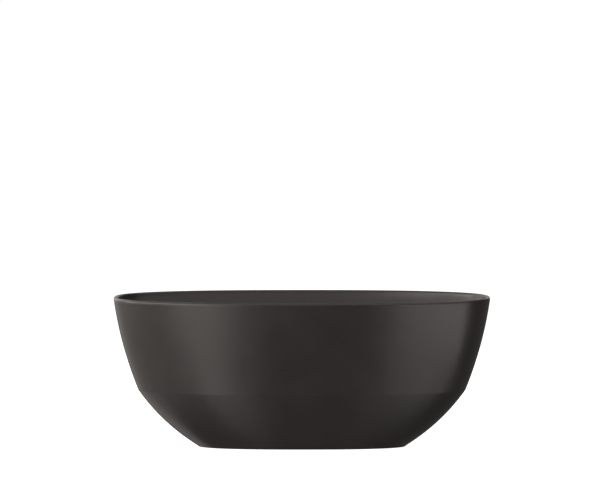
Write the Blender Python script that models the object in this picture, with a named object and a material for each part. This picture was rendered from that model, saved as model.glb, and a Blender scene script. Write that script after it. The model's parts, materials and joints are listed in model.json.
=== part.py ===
"""Freestanding oval bathtub, built as separate pieces.

Metres, +Z up, +X along the tub. The origin is on the floor under the middle of the tub.
The tub is an inner bath shell and an outer skirt that meet under a rounded rim. Between them are
the base board, the steel rails and feet, the pop-up waste, the overflow and the trap.
"""
import bmesh
import bpy
from math import asin, ceil, cos, pi, radians, sin
from mathutils import Matrix, Vector

# Overall sizes
TUB_LENGTH = 1.500
TUB_WIDTH = 0.750
TUB_HEIGHT = 0.598
PLAN_EXPONENT = 2.5        # 2 gives an ellipse, more gives fuller corners
TUB_SEGMENTS = 42          # facets round the oval, with one facet square to each long side
GAP = 0.0003               # between pieces that touch
RUNNING_GAP = 0.0004       # between a shaft and its bore, and round a screw thread
EDGE = 0.001               # chamfers on small turned and moulded pieces

# Rounded rim and its turned-down lip
RIM_THICKNESS = 0.017
LIP_DROP = 0.0095
BOND_HEIGHT = 0.022
BOND_ROOM = 0.0012         # between the adhesive and the two walls, whose facets differ

# Outer skirt
SKIRT_THICKNESS = 0.005
CREASE_HEIGHT = 0.227
CREASE_INSET_END = 0.098
CREASE_INSET_SIDE = 0.080
BASE_INSET_END = 0.340
BASE_INSET_SIDE = 0.180
UPPER_BOW_END = radians(7)
UPPER_BOW_SIDE = radians(1)
LOWER_BOW_END = radians(12)
LOWER_BOW_SIDE = radians(2)
SKIRT_FLOOR_GAP = 0.002
HEM_WIDTH = 0.018

# Inner bath shell
SHELL_THICKNESS = 0.006
BACKREST_TOP_SLOPE = radians(16)
BACKREST_FOOT_SLOPE = radians(38)
BACKREST_FILLET = 0.140
SIDE_TOP_SLOPE = radians(22)
SIDE_FOOT_SLOPE = radians(24)
SIDE_FILLET = 0.090
DRAIN_HEIGHT = 0.155
FLOOR_FALL = 0.005
DRAIN_RECESS_ROOM = 0.010   # round the waste flange
DRAIN_RECESS_DEPTH = 0.003
DRAIN_HOLE_ROOM = 0.0015    # round the throat

# Base board, rails and feet
BOARD_LENGTH = 0.620
BOARD_WIDTH = 0.200
BOARD_THICKNESS = 0.018
BOARD_CUTOUT_ROOM = 0.004
BOARD_CORNER = 0.020
RAIL_INSET = 0.060          # from the board's end to the rail's middle
RAIL_BEYOND_FOOT = 0.025
RAIL_WIDTH = 0.030
RAIL_HEIGHT = 0.028
RAIL_SHEET = 0.0025
SCREW_EDGE = 0.020          # from the board's edge to the outer screws
SCREW_INNER = 0.035         # from the middle line to the inner screws
SCREW_RADIUS = 0.0020
SCREW_LENGTH = 0.014
SCREW_POINT = 0.003
SCREW_HEAD_RADIUS = 0.0042
SCREW_HEAD_HEIGHT = 0.0025
SCREW_HEAD_ROUND = 0.0012
FOOT_BOARD_ROOM = 0.004     # between the upper nuts and the board's edge
STUD_RADIUS = 0.006
STUD_TOP_ROOM = 0.006
NUT_WALL = 0.005
NUT_HEIGHT = 0.007
PAD_RADIUS = 0.022
PAD_HEIGHT = 0.012
PAD_SOLE_HEIGHT = 0.005
PAD_NECK_WALL = 0.005
PAD_NECK_HEIGHT = 0.003
STUD_SEAT_DEPTH = 0.004

# Pop-up waste
WASTE_FLANGE_REACH = 0.0115  # beyond the throat
WASTE_FLANGE_HEIGHT = 0.0027
WASTE_GASKET_HEIGHT = 0.0012
FLANGE_EDGE = 0.001
GASKET_INSET = 0.001
THROAT_OUTER = 0.0245
THROAT_WALL = 0.003
THROAT_DEPTH = 0.030
GUIDE_WALL = 0.0031
GUIDE_HEIGHT = 0.006
GUIDE_DEPTH = 0.018
GUIDE_ARMS = 3
GUIDE_ARM_WIDTH = 0.0035
BODY_GASKET_HEIGHT = 0.003
CHAMBER_ROOM = 0.002        # round the throat
BODY_WALL = 0.0035
BODY_FLANGE_REACH = 0.007
BODY_FLANGE_HEIGHT = 0.004
SPIGOT_LENGTH = 0.016
PLUG_RIM_REACH = 0.005      # beyond the seal
PLUG_HEIGHT = 0.005
PLUG_RIM_HEIGHT = 0.0025
PLUG_BOSS_WALL = 0.0022
PLUG_BOSS_LENGTH = 0.004
STEM_SOCKET_DEPTH = 0.003
PLUG_SEAL_LAP = 0.0055      # on the flange, beyond the throat's bore
PLUG_SEAL_HEIGHT = 0.0022
STEM_RADIUS = 0.003
STEM_TIP_RADIUS = 0.0015
STEM_TIP_HEIGHT = 0.003
PLUG_LIFT = 0.012
LEVER_REACH = 0.020
LEVER_TIP_RADIUS = 0.0018
LEVER_WIDTH = 0.005
LEVER_PIN_RADIUS = 0.0015
LEVER_HUB_WALL = 0.0013
LEVER_END_ROOM = 0.0034     # from the hub to the chamber wall
CABLE_RADIUS = 0.003
CABLE_PORT_RADIUS = 0.006
CABLE_PORT_LENGTH = 0.016
CABLE_PORT_BORE = 0.008

# Overflow
OVERFLOW_DROP = 0.125
OVERFLOW_HOLE_ROOM = 0.001
OVERFLOW_FLANGE_REACH = 0.008  # beyond the hole
OVERFLOW_FLANGE_HEIGHT = 0.0025
OVERFLOW_THROAT_OUTER = 0.0215
OVERFLOW_THROAT_WALL = 0.0025
OVERFLOW_NECK_WALL = 0.0031
OVERFLOW_NECK_SUNK = 0.0005    # the neck stops this far below the wet face
OVERFLOW_CUP_STEP = 0.005      # from the neck out to the cup
OVERFLOW_CUP_DEPTH = 0.020
OVERFLOW_CUP_WALL = 0.0025
OVERFLOW_CUP_EDGE = 0.003
OVERFLOW_GASKET_HEIGHT = 0.0025
OVERFLOW_SPIGOT_SUNK = 0.0005  # from the body's face to the spigot's side
OVERFLOW_SPIGOT_REACH = 0.020
OVERFLOW_SKIRT_ROOM = 0.0006   # the least room between the overflow and the skirt
LEAN_STEP = radians(0.25)      # the side wall leans in by such steps until that room is there
SPINDLE_COLLAR_WALL = 0.0026
SPINDLE_COLLAR_HEIGHT = 0.003
KNOB_RADIUS = 0.0345
KNOB_STANDOFF = 0.011
KNOB_HEIGHT = 0.010
KNOB_EDGE = 0.0018
KNOB_HUB_WALL = 0.0047
KNOB_HUB_ROOM = 0.002          # between the knob's hub and the flange ring
KNOB_SOCKET = 0.006
SPINDLE_RADIUS = 0.004
DRUM_WALL = 0.0077
DRUM_HEIGHT = 0.004
CABLE_SIDE_ROOM = 0.004        # between the cable and the pipe nut
CABLE_BOSS_WALL = 0.0018
CABLE_BOSS_LENGTH = 0.014
CABLE_LEAVE = (-0.008, -0.030)  # from where the cable comes level under the basin
CABLE_BENDS = ((-0.040, 0.075), (-0.055, 0.025), (-0.028, 0), (-0.010, 0))  # from its port's end

# Pipes and trap
OVERFLOW_PIPE_OUTER = 0.0120
OVERFLOW_PIPE_WALL = 0.0022
OVERFLOW_PORT_REACH = 0.022
PIPE_NUT_WALL = 0.0031
PIPE_NUT_LENGTH = 0.016
PIPE_STEP = 0.030
TRAP_PIPE_OUTER = 0.020
TRAP_PIPE_WALL = 0.0025
TRAP_BEND = 0.030
TRAP_LEG = 0.0231
TRAP_SEAL_HEIGHT = 0.002
TRAP_NUT_WALL = 0.0061
TRAP_NUT_LENGTH = 0.020
UNDER_BOARD_ROOM = 0.0015
TRAP_TAIL = 0.035
OUTLET_PIPE_LENGTH = 0.070
ROUND_SIDES = 16
PIPE_SIDES = 12

HALF_LENGTH = TUB_LENGTH / 2
HALF_WIDTH = TUB_WIDTH / 2
RIM_RADIUS = RIM_THICKNESS / 2
RIM_LINE = TUB_HEIGHT - RIM_RADIUS
LIP_BOTTOM = RIM_LINE - LIP_DROP
FLOOR_EDGE_HEIGHT = DRAIN_HEIGHT + DRAIN_RECESS_DEPTH + FLOOR_FALL
FLOOR_UNDERSIDE = DRAIN_HEIGHT - SHELL_THICKNESS
BOARD_TOP = FLOOR_UNDERSIDE - GAP
RAIL_TOP = BOARD_TOP - BOARD_THICKNESS - GAP

NUT_RADIUS = STUD_RADIUS + NUT_WALL
RAIL_SPACING = BOARD_LENGTH - 2 * RAIL_INSET
FOOT_SPACING = BOARD_WIDTH + 2 * (NUT_RADIUS + FOOT_BOARD_ROOM)
RAIL_LENGTH = FOOT_SPACING + 2 * RAIL_BEYOND_FOOT
OUTER_SCREW = BOARD_WIDTH / 2 - SCREW_EDGE
SCREW_PLACES = (-OUTER_SCREW, -SCREW_INNER, SCREW_INNER, OUTER_SCREW)

THROAT_INNER = THROAT_OUTER - THROAT_WALL
DRAIN_HOLE_RADIUS = THROAT_OUTER + DRAIN_HOLE_ROOM
WASTE_FLANGE_RADIUS = THROAT_OUTER + WASTE_FLANGE_REACH
DRAIN_RECESS_RADIUS = WASTE_FLANGE_RADIUS + DRAIN_RECESS_ROOM
GUIDE_OUTER = STEM_RADIUS + RUNNING_GAP + GUIDE_WALL
PLUG_SEAL_RADIUS = THROAT_INNER + PLUG_SEAL_LAP
PLUG_RADIUS = PLUG_SEAL_RADIUS + PLUG_RIM_REACH
LEVER_HUB_RADIUS = LEVER_PIN_RADIUS + GAP + LEVER_HUB_WALL
CHAMBER_RADIUS = max(THROAT_OUTER + CHAMBER_ROOM, LEVER_REACH + LEVER_HUB_RADIUS + LEVER_END_ROOM)
BODY_OUTER = CHAMBER_RADIUS + BODY_WALL
BODY_FLANGE_RADIUS = BODY_OUTER + BODY_FLANGE_REACH

OVERFLOW_THROAT_INNER = OVERFLOW_THROAT_OUTER - OVERFLOW_THROAT_WALL
OVERFLOW_NECK_INNER = OVERFLOW_THROAT_OUTER + RUNNING_GAP
OVERFLOW_NECK_OUTER = OVERFLOW_NECK_INNER + OVERFLOW_NECK_WALL
OVERFLOW_HOLE_RADIUS = OVERFLOW_NECK_OUTER + OVERFLOW_HOLE_ROOM
OVERFLOW_FLANGE_RADIUS = OVERFLOW_HOLE_RADIUS + OVERFLOW_FLANGE_REACH
OVERFLOW_CUP_RADIUS = OVERFLOW_NECK_OUTER + OVERFLOW_CUP_STEP
OVERFLOW_SPIGOT_DEPTH = OVERFLOW_PIPE_OUTER + OVERFLOW_SPIGOT_SUNK
OVERFLOW_SPIGOT_END = OVERFLOW_CUP_RADIUS + OVERFLOW_SPIGOT_REACH
OVERFLOW_PORT_END = BODY_OUTER + OVERFLOW_PORT_REACH
KNOB_HUB_RADIUS = SPINDLE_RADIUS + GAP + KNOB_HUB_WALL
DRUM_RADIUS = SPINDLE_RADIUS + GAP + DRUM_WALL
PIPE_NUT_RADIUS = OVERFLOW_PIPE_OUTER + RUNNING_GAP + PIPE_NUT_WALL
CABLE_SIDE_STEP = PIPE_NUT_RADIUS + CABLE_RADIUS + CABLE_SIDE_ROOM
TRAP_NUT_RADIUS = TRAP_PIPE_OUTER + RUNNING_GAP + TRAP_NUT_WALL
TRAP_OUTLET_END = 3 * TRAP_BEND + TRAP_TAIL
OUTLET_PIPE_END = TRAP_OUTLET_END + OUTLET_PIPE_LENGTH
BOARD_CUTOUT_RADIUS = OVERFLOW_PORT_END + PIPE_NUT_LENGTH / 2 + BOARD_CUTOUT_ROOM
OVERFLOW_PORT_DEPTH = (DRAIN_HEIGHT - FLOOR_UNDERSIDE + GAP + BOARD_THICKNESS + UNDER_BOARD_ROOM
                       + OVERFLOW_PIPE_OUTER)
CHAMBER_DEPTH = OVERFLOW_PORT_DEPTH + OVERFLOW_PIPE_OUTER + BODY_WALL
SPIGOT_DEPTH = CHAMBER_DEPTH + SPIGOT_LENGTH
LEVER_DEPTH = (THROAT_DEPTH + CHAMBER_DEPTH - BODY_WALL / 2) / 2
FACET_REACH = cos(pi / TUB_SEGMENTS) ** (2 / PLAN_EXPONENT)


def clear_scene():
    for item in list(bpy.data.objects):
        bpy.data.objects.remove(item)


# Materials ---------------------------------------------------------------------------------------

def finish(name, color, roughness, metallic=0.0):
    made = bpy.data.materials.new(name)
    made.use_nodes = True
    shader = made.node_tree.nodes["Principled BSDF"]
    shader.inputs["Base Color"].default_value = (*color, 1.0)
    shader.inputs["Roughness"].default_value = roughness
    shader.inputs["Metallic"].default_value = metallic
    made.diffuse_color = (*color, 1.0)
    return made


def make_finishes():
    return {
        "graphite_shell": finish("graphite_shell", (0.020, 0.018, 0.017), 0.40),
        "graphite_skirt": finish("graphite_skirt", (0.020, 0.018, 0.017), 0.40),
        "bond": finish("bond", (0.10, 0.10, 0.10), 0.7),
        "plywood": finish("plywood", (0.42, 0.28, 0.15), 0.7),
        "rail_steel": finish("rail_steel", (0.55, 0.56, 0.58), 0.40, 1.0),
        "fastener_steel": finish("fastener_steel", (0.62, 0.62, 0.62), 0.35, 1.0),
        "pad_rubber": finish("pad_rubber", (0.03, 0.03, 0.03), 0.8),
        "dark_metal": finish("dark_metal", (0.035, 0.032, 0.030), 0.35, 1.0),
        "seal_rubber": finish("seal_rubber", (0.05, 0.05, 0.05), 0.75),
        "brass": finish("brass", (0.70, 0.52, 0.24), 0.35, 1.0),
        "body_plastic": finish("body_plastic", (0.09, 0.09, 0.095), 0.5),
        "pipe_plastic": finish("pipe_plastic", (0.75, 0.75, 0.74), 0.45),
        "cable_sheath": finish("cable_sheath", (0.05, 0.05, 0.055), 0.5),
    }


# Shared ways of making a solid -------------------------------------------------------------------

def skin(rings, closed):
    """Faces between neighbouring rings of points. A ring of one point is a tip."""
    work = bmesh.new()
    rows = [[work.verts.new(point) for point in ring] for ring in rings]
    pairs = list(zip(rows, rows[1:]))
    if closed:
        pairs.append((rows[-1], rows[0]))
    for first, second in pairs:
        count = max(len(first), len(second))
        for step in range(count):
            after = (step + 1) % count
            corners = [first[step % len(first)], first[after % len(first)],
                       second[after % len(second)], second[step % len(second)]]
            work.faces.new(list(dict.fromkeys(corners)))
    if not closed:
        for row in (rows[0], rows[-1]):
            if len(row) > 1:
                work.faces.new(row)
    bmesh.ops.recalc_face_normals(work, faces=work.faces)
    return work


def as_object(name, work, material, parent=None, smooth_angle=radians(35)):
    mesh = bpy.data.meshes.new(name)
    work.to_mesh(mesh)
    work.free()
    mesh.shade_smooth()
    mesh.set_sharp_from_angle(angle=smooth_angle)
    if material is not None:
        mesh.materials.append(material)
    made = bpy.data.objects.new(name, mesh)
    bpy.context.collection.objects.link(made)
    made.parent = parent
    return made


def empty(name, location, rotation=(0, 0, 0)):
    made = bpy.data.objects.new(name, None)
    made.location = location
    made.rotation_euler = rotation
    bpy.context.collection.objects.link(made)
    return made


def circle(radius, height, sides):
    if radius == 0:
        return [(0, 0, height)]
    turns = [2 * pi * step / sides for step in range(sides)]
    return [(radius * cos(turn), radius * sin(turn), height) for turn in turns]


def turned(profile, sides=ROUND_SIDES):
    """A solid of revolution about local Z from (radius, height) points.

    A profile that starts and ends on the axis is solid. Any other profile is a closed loop.
    """
    rings = [circle(radius, height, sides) for radius, height in profile]
    return skin(rings, closed=profile[0][0] > 0)


def tube_profile(inner, outer, low, high):
    return [(inner, low), (outer, low), (outer, high), (inner, high)]


def rod_profile(radius, low, high):
    return [(0, low), (radius, low), (radius, high), (0, high)]


def box(size, centre):
    work = bmesh.new()
    bmesh.ops.create_cube(work, size=1.0)
    bmesh.ops.scale(work, vec=size, verts=work.verts)
    bmesh.ops.translate(work, vec=centre, verts=work.verts)
    return work


def merge(works):
    """Separate solids gathered into one mesh."""
    whole = bmesh.new()
    for work in works:
        mesh = bpy.data.meshes.new("gathered")
        work.to_mesh(mesh)
        work.free()
        whole.from_mesh(mesh)
        bpy.data.meshes.remove(mesh)
    return whole


def swept(route, outer, inner=0.0, sides=PIPE_SIDES, across=Vector((1, 0, 0))):
    """A round bar, or a pipe when inner is set, along a route of points."""
    route = [Vector(point) for point in route]
    outside = []
    inside = []
    for step, point in enumerate(route):
        before = route[max(step - 1, 0)]
        after = route[min(step + 1, len(route) - 1)]
        along = (after - before).normalized()
        across = (across - along * across.dot(along)).normalized()
        upright = along.cross(across)
        turns = [2 * pi * side / sides for side in range(sides)]
        spokes = [across * cos(turn) + upright * sin(turn) for turn in turns]
        outside.append([point + spoke * outer for spoke in spokes])
        inside.append([point + spoke * inner for spoke in spokes])
    if inner == 0:
        return skin(outside, closed=False)
    return skin(outside + inside[::-1], closed=True)


def boolean(target, tool, operation):
    """Cut or join with a helper object that isn't part of the tub."""
    tool.hide_render = True
    tool.display_type = "WIRE"
    change = target.modifiers.new(tool.name, "BOOLEAN")
    change.operation = operation
    change.solver = "EXACT"
    change.object = tool


def cutter(name, work, target, parent=None, location=(0, 0, 0), rotation=(0, 0, 0)):
    tool = as_object(name, work, None, parent)
    tool.location = location
    tool.rotation_euler = rotation
    boolean(target, tool, "DIFFERENCE")
    return tool


def joined(name, work, target, parent=None, location=(0, 0, 0), rotation=(0, 0, 0)):
    tool = as_object(name, work, None, parent)
    tool.location = location
    tool.rotation_euler = rotation
    boolean(target, tool, "UNION")
    return tool


# The tub's curves --------------------------------------------------------------------------------

def oval(end_point, side_point, exponent=PLAN_EXPONENT):
    """One ring of the tub. Each point is (half size, height), at the ends and at the long sides."""
    ring = []
    for step in range(TUB_SEGMENTS):
        turn = 2 * pi * step / TUB_SEGMENTS
        power = 2 / exponent
        x = end_point[0] * abs(cos(turn)) ** power * (1 if cos(turn) > 0 else -1)
        y = side_point[0] * abs(sin(turn)) ** power * (1 if sin(turn) > 0 else -1)
        z = end_point[1] * cos(turn) ** 2 + side_point[1] * sin(turn) ** 2
        ring.append((x, y, z))
    return ring


def bowed(start, end, bow, height):
    """Half size at a height on the arc from start to end, whose tangents lean out by bow."""
    chord = Vector(end) - Vector(start)
    radius = chord.length / 2 / sin(bow)
    outward = Vector((-chord.y, chord.x)).normalized()
    centre = (Vector(start) + Vector(end)) / 2 - outward * radius * cos(bow)
    return centre.x + (radius ** 2 - (height - centre.y) ** 2) ** 0.5


def skirt_profile(half, crease_inset, base_inset, upper_bow, lower_bow, heights):
    """The skirt's outside, from the rim line down, as (half size, height) points."""
    top = (half, RIM_LINE)
    crease = (half - crease_inset, CREASE_HEIGHT)
    base = (half - base_inset, SKIRT_FLOOR_GAP)
    points = []
    for height in heights:
        if height > CREASE_HEIGHT:
            points.append((bowed(top, crease, upper_bow, height), height))
        elif height == CREASE_HEIGHT:
            points.append(crease)
        else:
            points.append((bowed(crease, base, lower_bow, height), height))
    return points


def end_skirt(heights):
    return skirt_profile(HALF_LENGTH, CREASE_INSET_END, BASE_INSET_END,
                         UPPER_BOW_END, LOWER_BOW_END, heights)


def side_skirt(heights):
    return skirt_profile(HALF_WIDTH, CREASE_INSET_SIDE, BASE_INSET_SIDE,
                         UPPER_BOW_SIDE, LOWER_BOW_SIDE, heights)


def spaced(start, end, steps):
    return [start + (end - start) * step / steps for step in range(steps + 1)]


def basin_profile(half, top_slope, foot_slope, fillet, wall_steps=5, fillet_steps=4):
    """The wet wall from the rim to the floor's edge: a long arc, then a fillet."""
    start = Vector((half - RIM_THICKNESS, RIM_LINE))
    drop = RIM_LINE - FLOOR_EDGE_HEIGHT - fillet * (1 - sin(foot_slope))
    wall_radius = drop / (sin(foot_slope) - sin(top_slope))
    points = []
    for slope in spaced(top_slope, foot_slope, wall_steps):
        step = Vector((cos(top_slope) - cos(slope), sin(slope) - sin(top_slope)))
        points.append(start - step * wall_radius)
    foot = points[-1]
    for slope in spaced(foot_slope, pi / 2, fillet_steps)[1:]:
        step = Vector((cos(foot_slope) - cos(slope), sin(slope) - sin(foot_slope)))
        points.append(foot - step * fillet)
    return points, wall_radius


def shifted(points, distance):
    """The same profile moved sideways by distance: outwards is positive, for points that go down."""
    moved = []
    for step, point in enumerate(points):
        here = Vector(point)
        sides = []
        for first, second in ((step - 1, step), (step, step + 1)):
            if first >= 0 and second < len(points):
                run = Vector(points[second]) - Vector(points[first])
                sides.append(Vector((-run.y, run.x)).normalized())
        lean = sides[0] + sides[-1]
        moved.append(here + lean * distance * 2 / lean.length_squared)
    return moved


def overflow_levels():
    """Heights along the overflow's axis, from the wet face of the wall."""
    levels = {"gasket_high": -SHELL_THICKNESS - GAP}
    levels["gasket_low"] = levels["gasket_high"] - OVERFLOW_GASKET_HEIGHT
    levels["body_high"] = levels["gasket_low"] - GAP
    levels["body_low"] = levels["body_high"] - OVERFLOW_CUP_DEPTH
    levels["spigot"] = levels["body_high"] - OVERFLOW_SPIGOT_DEPTH
    levels["flange_high"] = GAP + OVERFLOW_FLANGE_HEIGHT
    return levels


def on_side_wall(top_slope, wall_radius):
    """Where the overflow's axis meets the wet side of the long wall, and the wall's slope there."""
    below = OVERFLOW_DROP - RIM_RADIUS
    slope = asin(sin(top_slope) + below / wall_radius)
    half = HALF_WIDTH - RIM_THICKNESS - wall_radius * (cos(top_slope) - cos(slope))
    return Vector((0, half * FACET_REACH, TUB_HEIGHT - OVERFLOW_DROP)), slope


def behind_wall(place, slope, side_step, down, height):
    """A point behind the long wall, in the overflow's own directions."""
    up = Vector((0, sin(slope), cos(slope)))
    out = Vector((0, -cos(slope), sin(slope)))
    return place + Vector((side_step, 0, 0)) - up * down + out * height


def room_behind_wall(top_slope, foot_slope):
    """The least room between the overflow's pieces and the skirt, behind a wall of these slopes."""
    wall_radius = basin_profile(HALF_WIDTH, top_slope, foot_slope, SIDE_FILLET)[1]
    place, slope = on_side_wall(top_slope, wall_radius)
    levels = overflow_levels()
    nut_side = levels["spigot"] - PIPE_NUT_RADIUS
    corners = [(-OVERFLOW_FLANGE_RADIUS, levels["body_high"] - OVERFLOW_CUP_WALL),
               (-OVERFLOW_CUP_RADIUS, levels["body_low"] + OVERFLOW_CUP_EDGE),
               (OVERFLOW_CUP_EDGE - OVERFLOW_CUP_RADIUS, levels["body_low"]),
               (OVERFLOW_SPIGOT_END - PIPE_NUT_LENGTH / 2, nut_side),
               (OVERFLOW_SPIGOT_END + PIPE_NUT_LENGTH / 2, nut_side)]
    rooms = []
    for down, height in corners:
        point = behind_wall(place, slope, 0, down, height)
        inner = shifted(side_skirt([point.z + SKIRT_THICKNESS, point.z]), -SKIRT_THICKNESS)[1]
        rooms.append(inner.x * FACET_REACH - point.y)
    return min(rooms)


def side_slopes():
    """The side wall's slopes, steepened together where the overflow behind it needs more room."""
    lean = 0
    while room_behind_wall(SIDE_TOP_SLOPE + lean, SIDE_FOOT_SLOPE + lean) < OVERFLOW_SKIRT_ROOM:
        lean += LEAN_STEP
    return SIDE_TOP_SLOPE + lean, SIDE_FOOT_SLOPE + lean


SIDE_TOP, SIDE_FOOT = side_slopes()
END_BASIN, END_WALL_RADIUS = basin_profile(
    HALF_LENGTH, BACKREST_TOP_SLOPE, BACKREST_FOOT_SLOPE, BACKREST_FILLET)
SIDE_BASIN, SIDE_WALL_RADIUS = basin_profile(HALF_WIDTH, SIDE_TOP, SIDE_FOOT, SIDE_FILLET)


# The two shells and what bonds them --------------------------------------------------------------

def make_bath_shell(finishes, overflow_axis):
    """The wet inner shell: rolled rim, sloping walls and a floor that falls to the drain."""
    lip = [LIP_BOTTOM]
    lip_end, lip_side = end_skirt(lip)[0], side_skirt(lip)[0]
    rings = [oval(lip_end, lip_side)]
    for turn in spaced(0, pi, 6)[:-1]:
        inset = RIM_RADIUS * (1 - cos(turn))
        height = RIM_LINE + RIM_RADIUS * sin(turn)
        rings.append(oval((HALF_LENGTH - inset, height), (HALF_WIDTH - inset, height)))
    rings += [oval(end, side) for end, side in zip(END_BASIN, SIDE_BASIN)]
    floor_end, floor_side = END_BASIN[-1], SIDE_BASIN[-1]
    recess_top = DRAIN_HEIGHT + DRAIN_RECESS_DEPTH
    halfway = (recess_top + FLOOR_EDGE_HEIGHT) / 2
    middle = [((edge.x + DRAIN_RECESS_RADIUS) / 2, halfway) for edge in (floor_end, floor_side)]
    rings.append(oval(*middle, exponent=(PLAN_EXPONENT + 2) / 2))
    recess_foot = DRAIN_RECESS_RADIUS - DRAIN_RECESS_DEPTH
    for radius, height in ((DRAIN_RECESS_RADIUS, recess_top), (recess_foot, DRAIN_HEIGHT),
                           (DRAIN_HOLE_RADIUS, DRAIN_HEIGHT), (DRAIN_HOLE_RADIUS, FLOOR_UNDERSIDE)):
        rings.append(oval((radius, height), (radius, height), exponent=2))
    under = [((edge.x + DRAIN_RECESS_RADIUS) / 2, FLOOR_UNDERSIDE) for edge in (floor_end, floor_side)]
    rings.append(oval(*under, exponent=(PLAN_EXPONENT + 2) / 2))
    rings.append(oval((floor_end.x, FLOOR_UNDERSIDE), (floor_side.x, FLOOR_UNDERSIDE)))
    dry_end, dry_side = shifted(END_BASIN, SHELL_THICKNESS), shifted(SIDE_BASIN, SHELL_THICKNESS)
    rings += [oval(end, side) for end, side in zip(dry_end[-2:0:-1], dry_side[-2:0:-1])]
    channel_top = RIM_LINE - RIM_RADIUS / 2
    lip_inner = [(point[0] - SKIRT_THICKNESS, channel_top) for point in (lip_end, lip_side)]
    wall_top = [(point.x, channel_top) for point in (dry_end[0], dry_side[0])]
    rings.append(oval(*wall_top))
    rings.append(oval(*lip_inner))
    rings.append(oval(*[(point[0], LIP_BOTTOM) for point in lip_inner]))
    shell = as_object("bath_shell", skin(rings, closed=True), finishes["graphite_shell"])
    reach = 4 * SHELL_THICKNESS
    cutter("overflow_hole", turned(rod_profile(OVERFLOW_HOLE_RADIUS, -reach, reach)),
           shell, overflow_axis)
    return shell


def make_outer_skirt(finishes):
    """The dry outer shell, creased all round, with a hem turned in at the floor."""
    hem_corner = SKIRT_THICKNESS * 0.8
    upper = spaced(LIP_BOTTOM - GAP, CREASE_HEIGHT, 6)
    lower = spaced(CREASE_HEIGHT, SKIRT_FLOOR_GAP + hem_corner, 6)[1:]
    outer_end, outer_side = end_skirt(upper + lower), side_skirt(upper + lower)
    inner_end = shifted(outer_end, -SKIRT_THICKNESS)
    inner_side = shifted(outer_side, -SKIRT_THICKNESS)
    rings = [oval(end, side) for end, side in zip(outer_end, outer_side)]
    foot_end, foot_side = outer_end[-1][0], outer_side[-1][0]

    def hem(inset, height):
        return oval((foot_end - inset, height), (foot_side - inset, height))

    hem_top = SKIRT_FLOOR_GAP + SKIRT_THICKNESS
    rings.append(hem(hem_corner * 0.6, SKIRT_FLOOR_GAP + hem_corner * 0.35))
    rings.append(hem(hem_corner * 1.6, SKIRT_FLOOR_GAP))
    rings.append(hem(HEM_WIDTH, SKIRT_FLOOR_GAP))
    rings.append(hem(HEM_WIDTH, hem_top))
    inner_end[0] = Vector((outer_end[0][0] - SKIRT_THICKNESS, outer_end[0][1]))
    inner_side[0] = Vector((outer_side[0][0] - SKIRT_THICKNESS, outer_side[0][1]))
    rings += [oval(end, side) for end, side in zip(inner_end[-2::-1], inner_side[-2::-1])]
    return as_object("outer_skirt", skin(rings, closed=True), finishes["graphite_skirt"])


def make_rim_bond(finishes):
    """The adhesive that fills the joint between the bath shell and the skirt under the rim."""
    high = LIP_BOTTOM - GAP
    low = high - BOND_HEIGHT
    rings = []
    for height, outside in ((high, True), (low, True), (low, False), (high, False)):
        ends = []
        for skirt, basin in ((end_skirt, END_BASIN), (side_skirt, SIDE_BASIN)):
            dry = shifted(basin, SHELL_THICKNESS)
            along = (dry[0].y - height) / (dry[0].y - dry[1].y)
            wall = dry[0].x + (dry[1].x - dry[0].x) * along
            face = skirt([height])[0][0] - SKIRT_THICKNESS - BOND_ROOM
            ends.append((face if outside else wall + BOND_ROOM, height))
        rings.append(oval(*ends))
    return as_object("rim_bond_bead", skin(rings, closed=True), finishes["bond"])


# Board, rails and feet ---------------------------------------------------------------------------

def rail_screw_points():
    return [(side * RAIL_SPACING / 2, place) for side in (-1, 1) for place in SCREW_PLACES]


def foot_points():
    return {
        "front_left": (-RAIL_SPACING / 2, -FOOT_SPACING / 2),
        "front_right": (RAIL_SPACING / 2, -FOOT_SPACING / 2),
        "back_left": (-RAIL_SPACING / 2, FOOT_SPACING / 2),
        "back_right": (RAIL_SPACING / 2, FOOT_SPACING / 2),
    }


def make_base_board(finishes):
    """The plywood board laminated under the floor, which takes the rail screws."""
    corners = []
    for x_side, y_side, start in ((1, 1, 0), (-1, 1, 1), (-1, -1, 2), (1, -1, 3)):
        for step in range(4):
            turn = pi / 2 * (start + step / 3)
            corners.append((x_side * (BOARD_LENGTH / 2 - BOARD_CORNER) + BOARD_CORNER * cos(turn),
                            y_side * (BOARD_WIDTH / 2 - BOARD_CORNER) + BOARD_CORNER * sin(turn)))
    low = BOARD_TOP - BOARD_THICKNESS
    rings = [[(x, y, height) for x, y in corners] for height in (low, BOARD_TOP)]
    board = as_object("base_board", skin(rings, closed=False), finishes["plywood"])
    reach = BOARD_THICKNESS
    cutter("board_cutout", turned(rod_profile(BOARD_CUTOUT_RADIUS, low - reach, BOARD_TOP + reach),
                                  sides=20), board)
    pilots = []
    for x, y in rail_screw_points():
        pilot = turned(rod_profile(SCREW_RADIUS + GAP, low - reach,
                                   RAIL_TOP - RAIL_SHEET + SCREW_LENGTH + GAP), sides=8)
        bmesh.ops.translate(pilot, vec=(x, y, 0), verts=pilot.verts)
        pilots.append(pilot)
    cutter("board_pilots", merge(pilots), board)
    return board


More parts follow.
